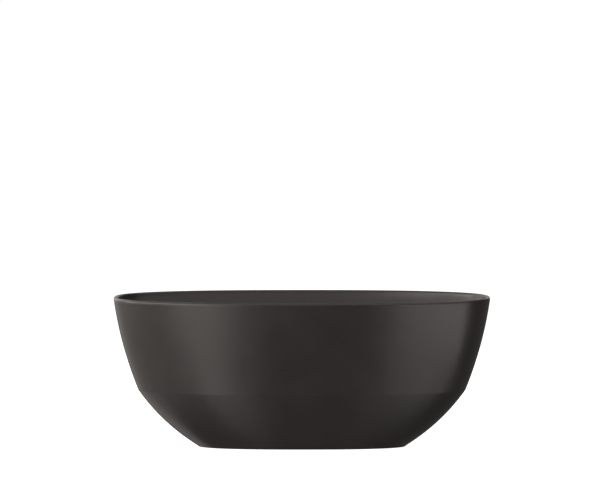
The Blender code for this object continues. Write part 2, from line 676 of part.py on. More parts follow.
def make_rails(finishes):
    """Two steel channels across the tub, open side down."""
    half = RAIL_WIDTH / 2
    section = [(-half, -RAIL_HEIGHT), (-half, 0), (half, 0), (half, -RAIL_HEIGHT),
               (half - RAIL_SHEET, -RAIL_HEIGHT), (half - RAIL_SHEET, -RAIL_SHEET),
               (-half + RAIL_SHEET, -RAIL_SHEET), (-half + RAIL_SHEET, -RAIL_HEIGHT)]
    for name, side in (("left", -1), ("right", 1)):
        ends = [[(x, y, z) for x, z in section] for y in (-RAIL_LENGTH / 2, RAIL_LENGTH / 2)]
        rail = as_object("cross_rail_" + name, skin(ends, closed=False), finishes["rail_steel"])
        rail.location = (side * RAIL_SPACING / 2, 0, RAIL_TOP)
        holes = []
        for place in SCREW_PLACES:
            hole = turned(rod_profile(SCREW_RADIUS + GAP, -2 * RAIL_SHEET, RAIL_SHEET), sides=8)
            bmesh.ops.translate(hole, vec=(0, place, 0), verts=hole.verts)
            holes.append(hole)
        for place in (-FOOT_SPACING / 2, FOOT_SPACING / 2):
            hole = turned(rod_profile(STUD_RADIUS + RUNNING_GAP, -2 * RAIL_SHEET, RAIL_SHEET), sides=12)
            bmesh.ops.translate(hole, vec=(0, place, 0), verts=hole.verts)
            holes.append(hole)
        cutter("rail_holes_" + name, merge(holes), rail, rail)


def make_rail_screws(finishes):
    """Pan-head wood screws, up through each rail into the board."""
    head_top = RAIL_TOP - RAIL_SHEET - GAP
    low = -SCREW_HEAD_HEIGHT
    profile = [(0, low), (SCREW_HEAD_RADIUS - SCREW_HEAD_ROUND, low),
               (SCREW_HEAD_RADIUS, low + SCREW_HEAD_ROUND), (SCREW_HEAD_RADIUS, 0), (SCREW_RADIUS, 0),
               (SCREW_RADIUS, SCREW_LENGTH - SCREW_POINT), (0, SCREW_LENGTH)]
    for number, (x, y) in enumerate(rail_screw_points(), start=1):
        screw = as_object("rail_screw_" + str(number), turned(profile, sides=8),
                          finishes["fastener_steel"])
        screw.location = (x, y, head_top)


def make_feet(finishes):
    """Threaded studs with rubber-soled pads, and a nut each side of the rail's web."""
    stud_top = FLOOR_UNDERSIDE - STUD_TOP_ROOM
    seat = PAD_HEIGHT - STUD_SEAT_DEPTH
    neck = STUD_RADIUS + PAD_NECK_WALL
    for name, (x, y) in foot_points().items():
        axis = empty("foot_axis_" + name, (x, y, 0))
        as_object("foot_stud_" + name,
                  turned([(0, seat), (STUD_RADIUS, seat), (STUD_RADIUS, stud_top - EDGE),
                          (STUD_RADIUS - EDGE, stud_top), (0, stud_top)], sides=12),
                  finishes["fastener_steel"], axis)
        socket = STUD_RADIUS + GAP
        as_object("foot_pad_" + name,
                  turned([(0, 0), (PAD_RADIUS - EDGE, 0), (PAD_RADIUS, EDGE),
                          (PAD_RADIUS, PAD_SOLE_HEIGHT), (neck + EDGE, PAD_HEIGHT - PAD_NECK_HEIGHT),
                          (neck, PAD_HEIGHT), (socket, PAD_HEIGHT), (socket, seat - GAP),
                          (0, seat - GAP)], sides=ROUND_SIDES),
                  finishes["pad_rubber"], axis)
        above = RAIL_TOP + GAP
        below = RAIL_TOP - RAIL_SHEET - GAP - NUT_HEIGHT
        for place, low in (("upper", above), ("lower", below)):
            nut = turned(tube_profile(STUD_RADIUS + RUNNING_GAP, NUT_RADIUS, low, low + NUT_HEIGHT),
                         sides=12)
            flats = [vert for vert in nut.verts if vert.co.xy.length > NUT_RADIUS - EDGE]
            for vert in flats:
                vert.co.xy *= hexagon_reach(vert.co.xy)
            as_object("lock_nut_" + name + "_" + place, nut, finishes["fastener_steel"], axis)


def hexagon_reach(direction):
    """How far a hexagon reaches that way, as a share of its corner radius."""
    turn = Vector((1, 0)).angle_signed(direction) % (pi / 3) - pi / 6
    return cos(pi / 6) / cos(turn)


# Pop-up waste, on local Z with its zero on the wet face of the drain recess ------------------------

def waste_levels():
    """Heights of the waste's faces below and above the drain recess."""
    levels = {"flange_low": GAP + WASTE_GASKET_HEIGHT + GAP}
    levels["flange_high"] = levels["flange_low"] + WASTE_FLANGE_HEIGHT
    levels["seal_low"] = levels["flange_high"] + GAP
    levels["seal_high"] = levels["seal_low"] + PLUG_SEAL_HEIGHT
    levels["plug_low"] = levels["seal_high"] + GAP
    levels["body_gasket_high"] = -SHELL_THICKNESS - GAP
    levels["body_gasket_low"] = levels["body_gasket_high"] - BODY_GASKET_HEIGHT
    levels["body_high"] = levels["body_gasket_low"] - GAP
    return levels


def make_waste_flange(finishes, drain):
    """The metal flange in the drain recess. Its throat screws into the body and guides the stem."""
    levels = waste_levels()
    low, high = levels["flange_low"], levels["flange_high"]
    rim = WASTE_FLANGE_RADIUS
    flange = as_object("waste_flange", turned([
        (THROAT_INNER, -THROAT_DEPTH), (THROAT_OUTER, -THROAT_DEPTH), (THROAT_OUTER, low),
        (rim, low), (rim, high - FLANGE_EDGE), (rim - FLANGE_EDGE, high),
        (THROAT_INNER + FLANGE_EDGE, high), (THROAT_INNER, high - FLANGE_EDGE)], sides=20),
        finishes["dark_metal"], drain)
    arms = [turned(rod_profile(GUIDE_OUTER, -GUIDE_DEPTH - GUIDE_HEIGHT, -GUIDE_DEPTH), sides=12)]
    reach = (THROAT_INNER + THROAT_OUTER) / 2
    for step in range(GUIDE_ARMS):
        arm = box((reach, GUIDE_ARM_WIDTH, GUIDE_HEIGHT * 0.8),
                  (reach / 2, 0, -GUIDE_DEPTH - GUIDE_HEIGHT / 2))
        turn = 2 * pi * (step + 0.5) / GUIDE_ARMS
        bmesh.ops.rotate(arm, cent=(0, 0, 0), matrix=Matrix.Rotation(turn, 3, "Z"), verts=arm.verts)
        arms.append(arm)
    for step, arm in enumerate(arms):
        joined("waste_guide_" + str(step), arm, flange, drain)
    reach = THROAT_DEPTH
    cutter("waste_guide_bore", turned(rod_profile(STEM_RADIUS + RUNNING_GAP, -reach, 0), sides=12),
           flange, drain)


def make_waste_gaskets(finishes, drain):
    levels = waste_levels()
    as_object("waste_flange_gasket",
              turned(tube_profile(DRAIN_HOLE_RADIUS + GASKET_INSET, WASTE_FLANGE_RADIUS - GASKET_INSET,
                                  GAP, GAP + WASTE_GASKET_HEIGHT)), finishes["seal_rubber"], drain)
    as_object("waste_body_gasket",
              turned(tube_profile(DRAIN_HOLE_RADIUS + GASKET_INSET, BODY_FLANGE_RADIUS - GASKET_INSET,
                                  levels["body_gasket_low"], levels["body_gasket_high"])),
              finishes["seal_rubber"], drain)


def lever_pivot():
    """The lever pin's place across the waste, on the side away from the trap's outlet."""
    return Vector((-LEVER_REACH, 0, -LEVER_DEPTH))


def make_waste_body(finishes, drain):
    """The moulded body under the floor, with ports for the overflow pipe and the control cable."""
    levels = waste_levels()
    high = levels["body_high"]
    chamber = CHAMBER_RADIUS
    spigot_inner = TRAP_PIPE_OUTER - TRAP_PIPE_WALL
    socket = THROAT_OUTER + RUNNING_GAP
    body = as_object("waste_body", turned([
        (socket, high), (socket, -THROAT_DEPTH - GAP), (chamber, -THROAT_DEPTH - 2 * BODY_WALL / 3),
        (chamber, -CHAMBER_DEPTH + BODY_WALL), (spigot_inner, -CHAMBER_DEPTH),
        (spigot_inner, -SPIGOT_DEPTH), (TRAP_PIPE_OUTER, -SPIGOT_DEPTH),
        (TRAP_PIPE_OUTER, -CHAMBER_DEPTH - BODY_WALL), (BODY_OUTER, -CHAMBER_DEPTH + BODY_WALL / 2),
        (BODY_OUTER, high - BODY_FLANGE_HEIGHT), (BODY_FLANGE_RADIUS, high - BODY_FLANGE_HEIGHT),
        (BODY_FLANGE_RADIUS, high)], sides=20), finishes["body_plastic"], drain)
    port_start = chamber + BODY_WALL / 2
    joined("overflow_port", turned(rod_profile(OVERFLOW_PIPE_OUTER, port_start, OVERFLOW_PORT_END),
                                   sides=PIPE_SIDES), body, drain,
           (0, 0, -OVERFLOW_PORT_DEPTH), (-pi / 2, 0, 0))
    cutter("overflow_port_bore",
           turned(rod_profile(OVERFLOW_PIPE_OUTER - OVERFLOW_PIPE_WALL, chamber / 2,
                              OVERFLOW_PORT_END + BODY_WALL), sides=PIPE_SIDES), body, drain,
           (0, 0, -OVERFLOW_PORT_DEPTH), (-pi / 2, 0, 0))
    port_end = port_start + CABLE_PORT_LENGTH
    joined("cable_port", turned(rod_profile(CABLE_PORT_RADIUS, port_start, port_end), sides=12),
           body, drain, (0, 0, -LEVER_DEPTH), (0, -pi / 2, 0))
    cutter("cable_port_bore",
           turned(rod_profile(CABLE_RADIUS + GAP, port_end - CABLE_PORT_BORE, port_end + BODY_WALL),
                  sides=12), body, drain, (0, 0, -LEVER_DEPTH), (0, -pi / 2, 0))
    pin_reach = lever_pin_half_length() + GAP
    pivot = lever_pivot()
    cutter("lever_pin_bore", turned(rod_profile(LEVER_PIN_RADIUS + GAP, -pin_reach, pin_reach), sides=8),
           body, drain, pivot, (pi / 2, 0, 0))


def lever_pin_half_length():
    """The pin runs into blind holes that stop half way through the body's wall."""
    middle = BODY_OUTER - BODY_WALL / 2
    return (middle ** 2 - LEVER_REACH ** 2) ** 0.5


def lever_rest_angle():
    return asin(PLUG_LIFT / 2 / LEVER_REACH)


def make_lever(finishes, drain):
    """The lever that lifts the stem, turning on a pin across the body."""
    pivot = lever_pivot()
    axis = empty("lever_axis", pivot)
    axis.parent = drain
    hub = LEVER_HUB_RADIUS
    half = LEVER_WIDTH / 2
    lean = lever_rest_angle()
    bar_top = LEVER_TIP_RADIUS * 0.75
    outline = []
    for step in range(9):
        turn = pi / 2 + pi * step / 8
        outline.append((hub * cos(turn), hub * sin(turn)))
    for step in range(7):
        turn = -pi / 2 + pi * step / 6
        outline.append((LEVER_REACH + LEVER_TIP_RADIUS * cos(turn), LEVER_TIP_RADIUS * sin(turn)))
    outline.append((LEVER_REACH - 2 * LEVER_TIP_RADIUS, bar_top))
    outline.append((2 * hub, bar_top))
    leaned = [(x * cos(lean) + z * sin(lean), z * cos(lean) - x * sin(lean)) for x, z in outline]
    sides = [[(x, y, z) for x, z in leaned] for y in (-half, half)]
    lever = as_object("lift_lever", skin(sides, closed=False), finishes["body_plastic"], axis)
    cutter("lever_bore", turned(rod_profile(LEVER_PIN_RADIUS + GAP, -LEVER_WIDTH, LEVER_WIDTH), sides=8),
           lever, axis, (0, 0, 0), (pi / 2, 0, 0))
    reach = lever_pin_half_length()
    pin = as_object("lever_pin", turned(rod_profile(LEVER_PIN_RADIUS, -reach, reach), sides=8),
                    finishes["fastener_steel"], axis)
    pin.rotation_euler = (pi / 2, 0, 0)


def make_plug(finishes, drain):
    """The lifting plug: cap, seal and stem, which rise together."""
    levels = waste_levels()
    low = levels["plug_low"]
    high = low + PLUG_HEIGHT
    socket = STEM_RADIUS + GAP
    neck = socket + PLUG_BOSS_WALL
    boss = low - PLUG_BOSS_LENGTH
    stem_top = low + STEM_SOCKET_DEPTH
    as_object("plug_cap", turned([
        (0, stem_top), (socket, stem_top), (socket, boss), (neck, boss), (neck, low),
        (PLUG_RADIUS - EDGE, low), (PLUG_RADIUS, low + EDGE), (PLUG_RADIUS - EDGE, low + PLUG_RIM_HEIGHT),
        (PLUG_RADIUS * 0.6, high - EDGE), (0, high)], sides=20), finishes["dark_metal"], drain)
    as_object("plug_seal", turned(tube_profile(neck + GAP, PLUG_SEAL_RADIUS,
                                               levels["seal_low"], levels["seal_high"])),
              finishes["seal_rubber"], drain)
    foot = -LEVER_DEPTH - LEVER_REACH * sin(lever_rest_angle()) + LEVER_TIP_RADIUS + GAP
    as_object("plug_stem", turned([
        (0, foot), (STEM_TIP_RADIUS, foot), (STEM_RADIUS, foot + STEM_TIP_HEIGHT),
        (STEM_RADIUS, stem_top - GAP), (0, stem_top - GAP)], sides=12), finishes["brass"], drain)


# Overflow, on local Z out of the wall with its zero on the wet face --------------------------------

def make_overflow(finishes, overflow_axis):
    """The body behind the wall, its gasket, the threaded flange ring, and the turning knob."""
    levels = overflow_levels()
    high, low = levels["body_high"], levels["body_low"]
    cup_inner = OVERFLOW_CUP_RADIUS - OVERFLOW_CUP_WALL
    inside = low + OVERFLOW_CUP_WALL
    flange_low = high - OVERFLOW_CUP_WALL
    collar_bore = SPINDLE_RADIUS + RUNNING_GAP
    collar = collar_bore + SPINDLE_COLLAR_WALL
    collar_top = inside + SPINDLE_COLLAR_HEIGHT
    body = as_object("overflow_body", turned([
        (0, low), (OVERFLOW_CUP_RADIUS - OVERFLOW_CUP_EDGE, low),
        (OVERFLOW_CUP_RADIUS, low + OVERFLOW_CUP_EDGE), (OVERFLOW_CUP_RADIUS, flange_low),
        (OVERFLOW_FLANGE_RADIUS, flange_low), (OVERFLOW_FLANGE_RADIUS, high),
        (OVERFLOW_NECK_OUTER, high), (OVERFLOW_NECK_OUTER, -OVERFLOW_NECK_SUNK),
        (OVERFLOW_NECK_INNER, -OVERFLOW_NECK_SUNK), (OVERFLOW_NECK_INNER, flange_low),
        (cup_inner, flange_low - OVERFLOW_CUP_WALL), (cup_inner, inside), (collar, inside),
        (collar, collar_top), (collar_bore, collar_top), (collar_bore, inside), (0, inside)], sides=20),
        finishes["body_plastic"], overflow_axis)
    spigot = levels["spigot"]
    start = cup_inner - 2 * OVERFLOW_SPIGOT_SUNK
    joined("overflow_spigot",
           turned(rod_profile(OVERFLOW_PIPE_OUTER, start, OVERFLOW_SPIGOT_END), sides=PIPE_SIDES),
           body, overflow_axis, (0, 0, spigot), (pi / 2, 0, 0))
    cutter("overflow_spigot_bore",
           turned(rod_profile(OVERFLOW_PIPE_OUTER - OVERFLOW_PIPE_WALL, start + OVERFLOW_SPIGOT_SUNK,
                              OVERFLOW_SPIGOT_END + BODY_WALL), sides=PIPE_SIDES),
           body, overflow_axis, (0, 0, spigot), (pi / 2, 0, 0))
    joined("overflow_cable_boss",
           turned(rod_profile(CABLE_RADIUS + CABLE_BOSS_WALL, cable_boss_start(), cable_boss_end()),
                  sides=12),
           body, overflow_axis, (-CABLE_SIDE_STEP, 0, spigot), (pi / 2, 0, 0))
    as_object("overflow_gasket",
              turned(tube_profile(OVERFLOW_HOLE_RADIUS, OVERFLOW_FLANGE_RADIUS - GASKET_INSET,
                                  levels["gasket_low"], levels["gasket_high"])),
              finishes["seal_rubber"], overflow_axis)
    face = levels["flange_high"]
    rim = OVERFLOW_FLANGE_RADIUS
    as_object("overflow_flange_ring", turned([
        (OVERFLOW_THROAT_INNER, flange_low + GAP), (OVERFLOW_THROAT_OUTER, flange_low + GAP),
        (OVERFLOW_THROAT_OUTER, GAP), (rim, GAP), (rim, face - FLANGE_EDGE), (rim - FLANGE_EDGE, face),
        (OVERFLOW_THROAT_INNER + FLANGE_EDGE, face), (OVERFLOW_THROAT_INNER, face - FLANGE_EDGE)],
        sides=20),
        finishes["dark_metal"], overflow_axis)
    knob_low = KNOB_STANDOFF
    knob_high = knob_low + KNOB_HEIGHT
    socket = SPINDLE_RADIUS + GAP
    socket_top = knob_low + KNOB_SOCKET
    hub_low = face + KNOB_HUB_ROOM
    as_object("overflow_knob", turned([
        (0, socket_top), (socket, socket_top), (socket, hub_low), (KNOB_HUB_RADIUS, hub_low),
        (KNOB_HUB_RADIUS, knob_low), (KNOB_RADIUS - KNOB_EDGE, knob_low),
        (KNOB_RADIUS, knob_low + KNOB_EDGE), (KNOB_RADIUS, knob_high - KNOB_EDGE),
        (KNOB_RADIUS - KNOB_EDGE, knob_high), (0, knob_high)], sides=24),
        finishes["dark_metal"], overflow_axis)
    drum_low = collar_top + GAP
    as_object("overflow_spindle",
              turned(rod_profile(SPINDLE_RADIUS, inside + GAP, socket_top - GAP), sides=12),
              finishes["brass"], overflow_axis)
    as_object("cable_drum",
              turned(tube_profile(SPINDLE_RADIUS + GAP, DRUM_RADIUS, drum_low, drum_low + DRUM_HEIGHT)),
              finishes["body_plastic"], overflow_axis)


def cable_boss_start():
    return ((OVERFLOW_CUP_RADIUS - OVERFLOW_CUP_WALL / 2) ** 2 - CABLE_SIDE_STEP ** 2) ** 0.5


def cable_boss_end():
    return cable_boss_start() + CABLE_BOSS_LENGTH


# Pipes, cable and trap ---------------------------------------------------------------------------

def under_basin_route(start_down, side_step, port_height):
    """Down behind the long wall and round under the floor, level at port_height."""
    place, slope = on_side_wall(SIDE_TOP, SIDE_WALL_RADIUS)
    height = overflow_levels()["spigot"]
    top = behind_wall(place, slope, side_step, start_down, height)
    fillet_centre = Vector((side_step, SIDE_BASIN[-1].x, FLOOR_EDGE_HEIGHT + SIDE_FILLET))
    wall_clear = SIDE_FILLET - height
    floor_clear = fillet_centre.z - port_height
    points = [top]
    turn_start = -SIDE_FOOT
    bend_start = fillet_centre + Vector((0, cos(turn_start), sin(turn_start))) * wall_clear
    straight = ceil((top - bend_start).length / PIPE_STEP)
    points += [top.lerp(bend_start, step / straight) for step in range(1, straight)]
    for step in range(11):
        share = step / 10
        turn = turn_start + (-pi / 2 - turn_start) * share
        eased = share * share * (3 - 2 * share)
        reach = wall_clear + (floor_clear - wall_clear) * eased
        points.append(fillet_centre + Vector((0, cos(turn), sin(turn))) * reach)
    return points


def make_overflow_pipe(finishes):
    port_height = DRAIN_HEIGHT - OVERFLOW_PORT_DEPTH
    route = under_basin_route(OVERFLOW_SPIGOT_END + GAP, 0.0, port_height)
    end = Vector((0, OVERFLOW_PORT_END + GAP, port_height))
    route += [route[-1].lerp(end, share) for share in (0.5, 1.0)]
    as_object("overflow_pipe",
              swept(route, OVERFLOW_PIPE_OUTER, OVERFLOW_PIPE_OUTER - OVERFLOW_PIPE_WALL),
              finishes["pipe_plastic"])
    for name, near, next_point in (("top", route[0], route[1]), ("bottom", route[-1], route[-2])):
        along = (next_point - near).normalized()
        nut = as_object("pipe_nut_" + name,
                        turned(tube_profile(OVERFLOW_PIPE_OUTER + RUNNING_GAP, PIPE_NUT_RADIUS,
                                            -PIPE_NUT_LENGTH / 2, PIPE_NUT_LENGTH / 2), sides=PIPE_SIDES),
                        finishes["body_plastic"])
        nut.location = near
        nut.rotation_euler = along.to_track_quat("Z", "Y").to_euler()


def smooth_route(stops, steps):
    """A rounded line through the stops."""
    stops = [Vector(stop) for stop in stops]
    stops = [2 * stops[0] - stops[1]] + stops + [2 * stops[-1] - stops[-2]]
    points = []
    for before, start, end, after in zip(stops, stops[1:], stops[2:], stops[3:]):
        for step in range(steps):
            share = step / steps
            points.append(0.5 * (2 * start + (end - before) * share
                                 + (2 * before - 5 * start + 4 * end - after) * share ** 2
                                 + (3 * start - before - 3 * end + after) * share ** 3))
    return points + [stops[-2]]


def make_control_cable(finishes):
    """The sheathed cable from the overflow knob to the lever in the waste body."""
    height = DRAIN_HEIGHT - LEVER_DEPTH
    route = under_basin_route(cable_boss_end() + GAP, -CABLE_SIDE_STEP, height)
    port_end = BODY_OUTER - BODY_WALL / 2 + CABLE_PORT_LENGTH
    last = route[-1]
    mouth = Vector((-(port_end - CABLE_PORT_BORE + GAP), 0, height))
    bends = [Vector((x - port_end, y, height)) for x, y in CABLE_BENDS]
    ahead = last + Vector((*CABLE_LEAVE, 0))
    route = route[:-1] + smooth_route([last, ahead] + bends, 5) + [mouth]
    as_object("control_cable", swept(route, CABLE_RADIUS, sides=8), finishes["cable_sheath"])


def make_trap(finishes, drain):
    """The running trap: a U-bend that holds water, then the outlet towards +X."""
    bore = TRAP_PIPE_OUTER - TRAP_PIPE_WALL
    seal_high = -SPIGOT_DEPTH - GAP
    as_object("trap_seal", turned(tube_profile(bore, TRAP_PIPE_OUTER, seal_high - TRAP_SEAL_HEIGHT,
                                               seal_high)), finishes["seal_rubber"], drain)
    top = DRAIN_HEIGHT + seal_high - TRAP_SEAL_HEIGHT - GAP
    centre = top - TRAP_LEG
    route = [(0, 0, top)]
    for turn in spaced(pi, 2 * pi, 10):
        route.append((TRAP_BEND + TRAP_BEND * cos(turn), 0, centre + TRAP_BEND * sin(turn)))
    outlet_height = BOARD_TOP - BOARD_THICKNESS - UNDER_BOARD_ROOM - TRAP_NUT_RADIUS
    rise = outlet_height - TRAP_BEND
    for turn in spaced(pi, pi / 2, 5):
        route.append((3 * TRAP_BEND + TRAP_BEND * cos(turn), 0, rise + TRAP_BEND * sin(turn)))
    route.append((TRAP_OUTLET_END, 0, outlet_height))
    as_object("trap_body", swept(route, TRAP_PIPE_OUTER, bore, across=Vector((0, 1, 0))),
              finishes["pipe_plastic"])
    nut_middle = seal_high - TRAP_SEAL_HEIGHT / 2
    nut = tube_profile(TRAP_PIPE_OUTER + RUNNING_GAP, TRAP_NUT_RADIUS,
                       -TRAP_NUT_LENGTH / 2, TRAP_NUT_LENGTH / 2)
    as_object("trap_nut", turned(nut, sides=16), finishes["body_plastic"], drain).location.z = nut_middle
    outlet = empty("outlet_axis", (TRAP_OUTLET_END, 0, outlet_height), (0, pi / 2, 0))
    as_object("outlet_seal", turned(tube_profile(bore, TRAP_PIPE_OUTER, GAP, GAP + TRAP_SEAL_HEIGHT)),
              finishes["seal_rubber"], outlet)
    pipe_start = 2 * GAP + TRAP_SEAL_HEIGHT
    as_object("outlet_pipe", turned(tube_profile(bore, TRAP_PIPE_OUTER, pipe_start,
                                                 OUTLET_PIPE_END - TRAP_OUTLET_END)),
              finishes["pipe_plastic"], outlet)
    as_object("outlet_nut", turned(nut, sides=16), finishes["body_plastic"], outlet)


def build_tub():
    clear_scene()
    finishes = make_finishes()
    place, slope = on_side_wall(SIDE_TOP, SIDE_WALL_RADIUS)
    overflow_axis = empty("overflow_axis", place, (pi / 2 - slope, 0, 0))
    drain = empty("drain_axis", (0, 0, DRAIN_HEIGHT))
    make_bath_shell(finishes, overflow_axis)
    make_outer_skirt(finishes)
    make_rim_bond(finishes)
    make_base_board(finishes)
    make_rails(finishes)
    make_rail_screws(finishes)
    make_feet(finishes)
    make_waste_flange(finishes, drain)
    make_waste_gaskets(finishes, drain)
    make_waste_body(finishes, drain)
    make_lever(finishes, drain)
    make_plug(finishes, drain)
    make_overflow(finishes, overflow_axis)
    make_overflow_pipe(finishes)
    make_control_cable(finishes)
    make_trap(finishes, drain)


build_tub()
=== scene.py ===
# %% [markdown]
# A freestanding double-walled bathtub in satin graphite acrylic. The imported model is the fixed
# frame: it says where every piece is and how the pieces move. This lesson rebuilds each visible
# piece as a fine mesh in the same place and gives it a finish.

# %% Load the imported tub
import bmesh
import bpy
import json
from math import asin, ceil, cos, degrees, pi, radians, sin, sqrt, tan
from mathutils import Matrix, Vector

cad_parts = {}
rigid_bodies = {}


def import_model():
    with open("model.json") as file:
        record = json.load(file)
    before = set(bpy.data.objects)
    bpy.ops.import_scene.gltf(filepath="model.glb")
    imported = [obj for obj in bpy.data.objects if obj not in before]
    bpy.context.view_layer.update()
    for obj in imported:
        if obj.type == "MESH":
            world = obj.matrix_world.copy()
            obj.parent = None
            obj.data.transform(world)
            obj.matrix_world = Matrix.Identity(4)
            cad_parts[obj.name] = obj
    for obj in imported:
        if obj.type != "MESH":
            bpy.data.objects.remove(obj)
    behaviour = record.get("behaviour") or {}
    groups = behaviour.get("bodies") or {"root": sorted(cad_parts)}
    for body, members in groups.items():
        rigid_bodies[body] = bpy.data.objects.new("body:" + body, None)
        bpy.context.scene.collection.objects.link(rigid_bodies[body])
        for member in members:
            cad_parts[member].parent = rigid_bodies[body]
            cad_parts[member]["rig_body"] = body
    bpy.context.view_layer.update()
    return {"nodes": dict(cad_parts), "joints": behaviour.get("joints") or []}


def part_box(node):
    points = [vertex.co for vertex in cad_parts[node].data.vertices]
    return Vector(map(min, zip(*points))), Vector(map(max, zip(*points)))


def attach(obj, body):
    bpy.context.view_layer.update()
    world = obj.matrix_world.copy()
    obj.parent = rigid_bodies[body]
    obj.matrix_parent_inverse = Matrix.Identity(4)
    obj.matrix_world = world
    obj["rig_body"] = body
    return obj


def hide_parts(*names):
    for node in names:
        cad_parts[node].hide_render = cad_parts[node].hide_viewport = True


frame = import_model()
nodes = frame["nodes"]
joints = {joint["name"]: joint for joint in frame["joints"]}

# %% [markdown]
# The camera comes first. The tub is shown straight from the front, from just above the rim, with
# hardly any perspective: near and far sides of the rim keep almost the same length. A very long
# lens from far away gives that. A camera near the tub would show much more of the inside.

# %% Camera
CAMERA_DISTANCE = 60.0
CAMERA_HEIGHT = 4.991
CAMERA_PITCH = radians(3.973)
CAMERA_SIDE = -0.0076
LENS = 906.4

scene = bpy.context.scene
camera_data = bpy.data.cameras.new("camera")
camera_data.lens = LENS
camera_data.clip_end = 200.0
camera = bpy.data.objects.new("camera", camera_data)
camera.location = (CAMERA_SIDE, -CAMERA_DISTANCE, CAMERA_HEIGHT)
camera.rotation_euler = (pi / 2 - CAMERA_PITCH, 0, 0)
scene.collection.objects.link(camera)
scene.camera = camera
print("camera at", tuple(round(value, 3) for value in camera.location))

# %% [markdown]
# Every smooth piece is made the same way: rings of points, joined by faces. One helper skins the
# rings, and one turns the mesh into an object that rides on its body, stands for its node in the
# frame and names its finish.

# %% Skin rings of points, and register a piece
SHARP_ANGLE = radians(32)


def skin(rings, closed):
    """Faces between neighbouring rings. A ring of one point is a tip."""
    work = bmesh.new()
    rows = [[work.verts.new(point) for point in ring] for ring in rings]
    pairs = list(zip(rows, rows[1:])) + ([(rows[-1], rows[0])] if closed else [])
    for first, second in pairs:
        count = max(len(first), len(second))
        for step in range(count):
            after = (step + 1) % count
            corners = [first[step % len(first)], first[after % len(first)],
                       second[after % len(second)], second[step % len(second)]]
            work.faces.new(list(dict.fromkeys(corners)))
    if not closed:
        for row in (rows[0], rows[-1]):
            if len(row) > 1:
                work.faces.new(row)
    bmesh.ops.recalc_face_normals(work, faces=work.faces)
    return work


def as_object(name, work, place=None):
    """A smooth-shaded object from a bmesh, moved into the frame by the matrix place."""
    mesh = bpy.data.meshes.new(name)
    work.to_mesh(mesh)
    work.free()
    if place is not None:
        mesh.transform(place)
    mesh.shade_smooth()
    mesh.set_sharp_from_angle(angle=SHARP_ANGLE)
    made = bpy.data.objects.new(name, mesh)
    scene.collection.objects.link(made)
    return made


def stand_in(piece, node, finish):
    """The piece takes the node's place: the same body, and a fine finish."""
    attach(piece, nodes[node]["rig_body"])
    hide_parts(node)
    piece.data.materials.clear()
    piece.data.materials.append(finish)
    return piece


# %% [markdown]
# The tub's plan is a superellipse, fuller than an ellipse and softer than a rectangle. Each ring
# is given by one point of the end profile and one point of the side profile, so the ends can
# slope more than the sides.

# %% The oval ring and profile helpers
PLAN_EXPONENT = 2.5
TUB_SEGMENTS = 288


def oval(end_point, side_point, exponent=PLAN_EXPONENT):
    """One ring. Each point is (half size, height), at the ends and at the long sides."""
    power = 2 / exponent
    ring = []
    for step in range(TUB_SEGMENTS):
        turn = 2 * pi * (step + 0.5) / TUB_SEGMENTS
        across, along = sin(turn), cos(turn)
        x = end_point[0] * abs(along) ** power * (1 if along > 0 else -1)
        y = side_point[0] * abs(across) ** power * (1 if across > 0 else -1)
        ring.append((x, y, end_point[1] * along ** 2 + side_point[1] * across ** 2))
    return ring


def spaced(start, end, steps):
    return [start + (end - start) * step / steps for step in range(steps + 1)]


def bowed(start, end, bow, height):
    """Half size at a height, on the arc from start to end that leans out by bow."""
    chord = Vector(end) - Vector(start)
    radius = chord.length / 2 / sin(bow)
    outward = Vector((-chord.y, chord.x)).normalized()
    centre = (Vector(start) + Vector(end)) / 2 - outward * radius * cos(bow)
    return centre.x + sqrt(radius ** 2 - (height - centre.y) ** 2)


def shifted(points, distance):
    """A profile that goes down, moved sideways: outwards is positive."""
    moved = []
    for step, point in enumerate(points):
        sides = []
        for first, second in ((step - 1, step), (step, step + 1)):
            if first >= 0 and second < len(points):
                run = Vector(points[second]) - Vector(points[first])
                sides.append(Vector((-run.y, run.x)).normalized())
        lean = sides[0] + sides[-1]
        moved.append(Vector(point) + lean * distance * 2 / lean.length_squared)
    return moved


shell_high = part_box("bath_shell")[1]
skirt_low, skirt_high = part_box("outer_skirt")
HALF_LENGTH = shell_high.x
HALF_WIDTH = shell_high.y
TUB_TOP = shell_high.z
print("the tub is", [round(size, 3) for size in (2 * HALF_LENGTH, 2 * HALF_WIDTH, TUB_TOP)])

# %% [markdown]
# The skirt is one sheet of acrylic, formed over a mould. It has a crease all round, where a steep
# upper wall meets a lower wall that draws in to a small base. Two arcs give the profile. The
# crease is rounded by a few millimetres, as a formed sheet is, so it catches light without
# looking cut.

# %% The skirt's profile
GAP = 0.0003
RIM_THICKNESS = 0.017
RIM_RADIUS = RIM_THICKNESS / 2
RIM_LINE = TUB_TOP - RIM_RADIUS
LIP_BOTTOM = skirt_high.z + GAP
SKIRT_THICKNESS = 0.005
SKIRT_FOOT = skirt_low.z
CREASE_HEIGHT = 0.227
CREASE_INSETS = (0.098, 0.080)
BASE_INSETS = (0.340, 0.180)
UPPER_BOWS = (radians(7), radians(1))
LOWER_BOWS = (radians(12), radians(2))
CREASE_ROUND = 0.0025
HEM_WIDTH = 0.018
HEM_ROUND = 0.004
HEM_LEAN = 0.5


def skirt_half(which, height):
    """The skirt's half length (0) or half width (1) at a height."""
    half = (HALF_LENGTH, HALF_WIDTH)[which]
    crease = (half - CREASE_INSETS[which], CREASE_HEIGHT)
    if height >= CREASE_HEIGHT:
        return bowed((half, RIM_LINE), crease, UPPER_BOWS[which], height)
    return bowed(crease, (half - BASE_INSETS[which], SKIRT_FOOT), LOWER_BOWS[which], height)


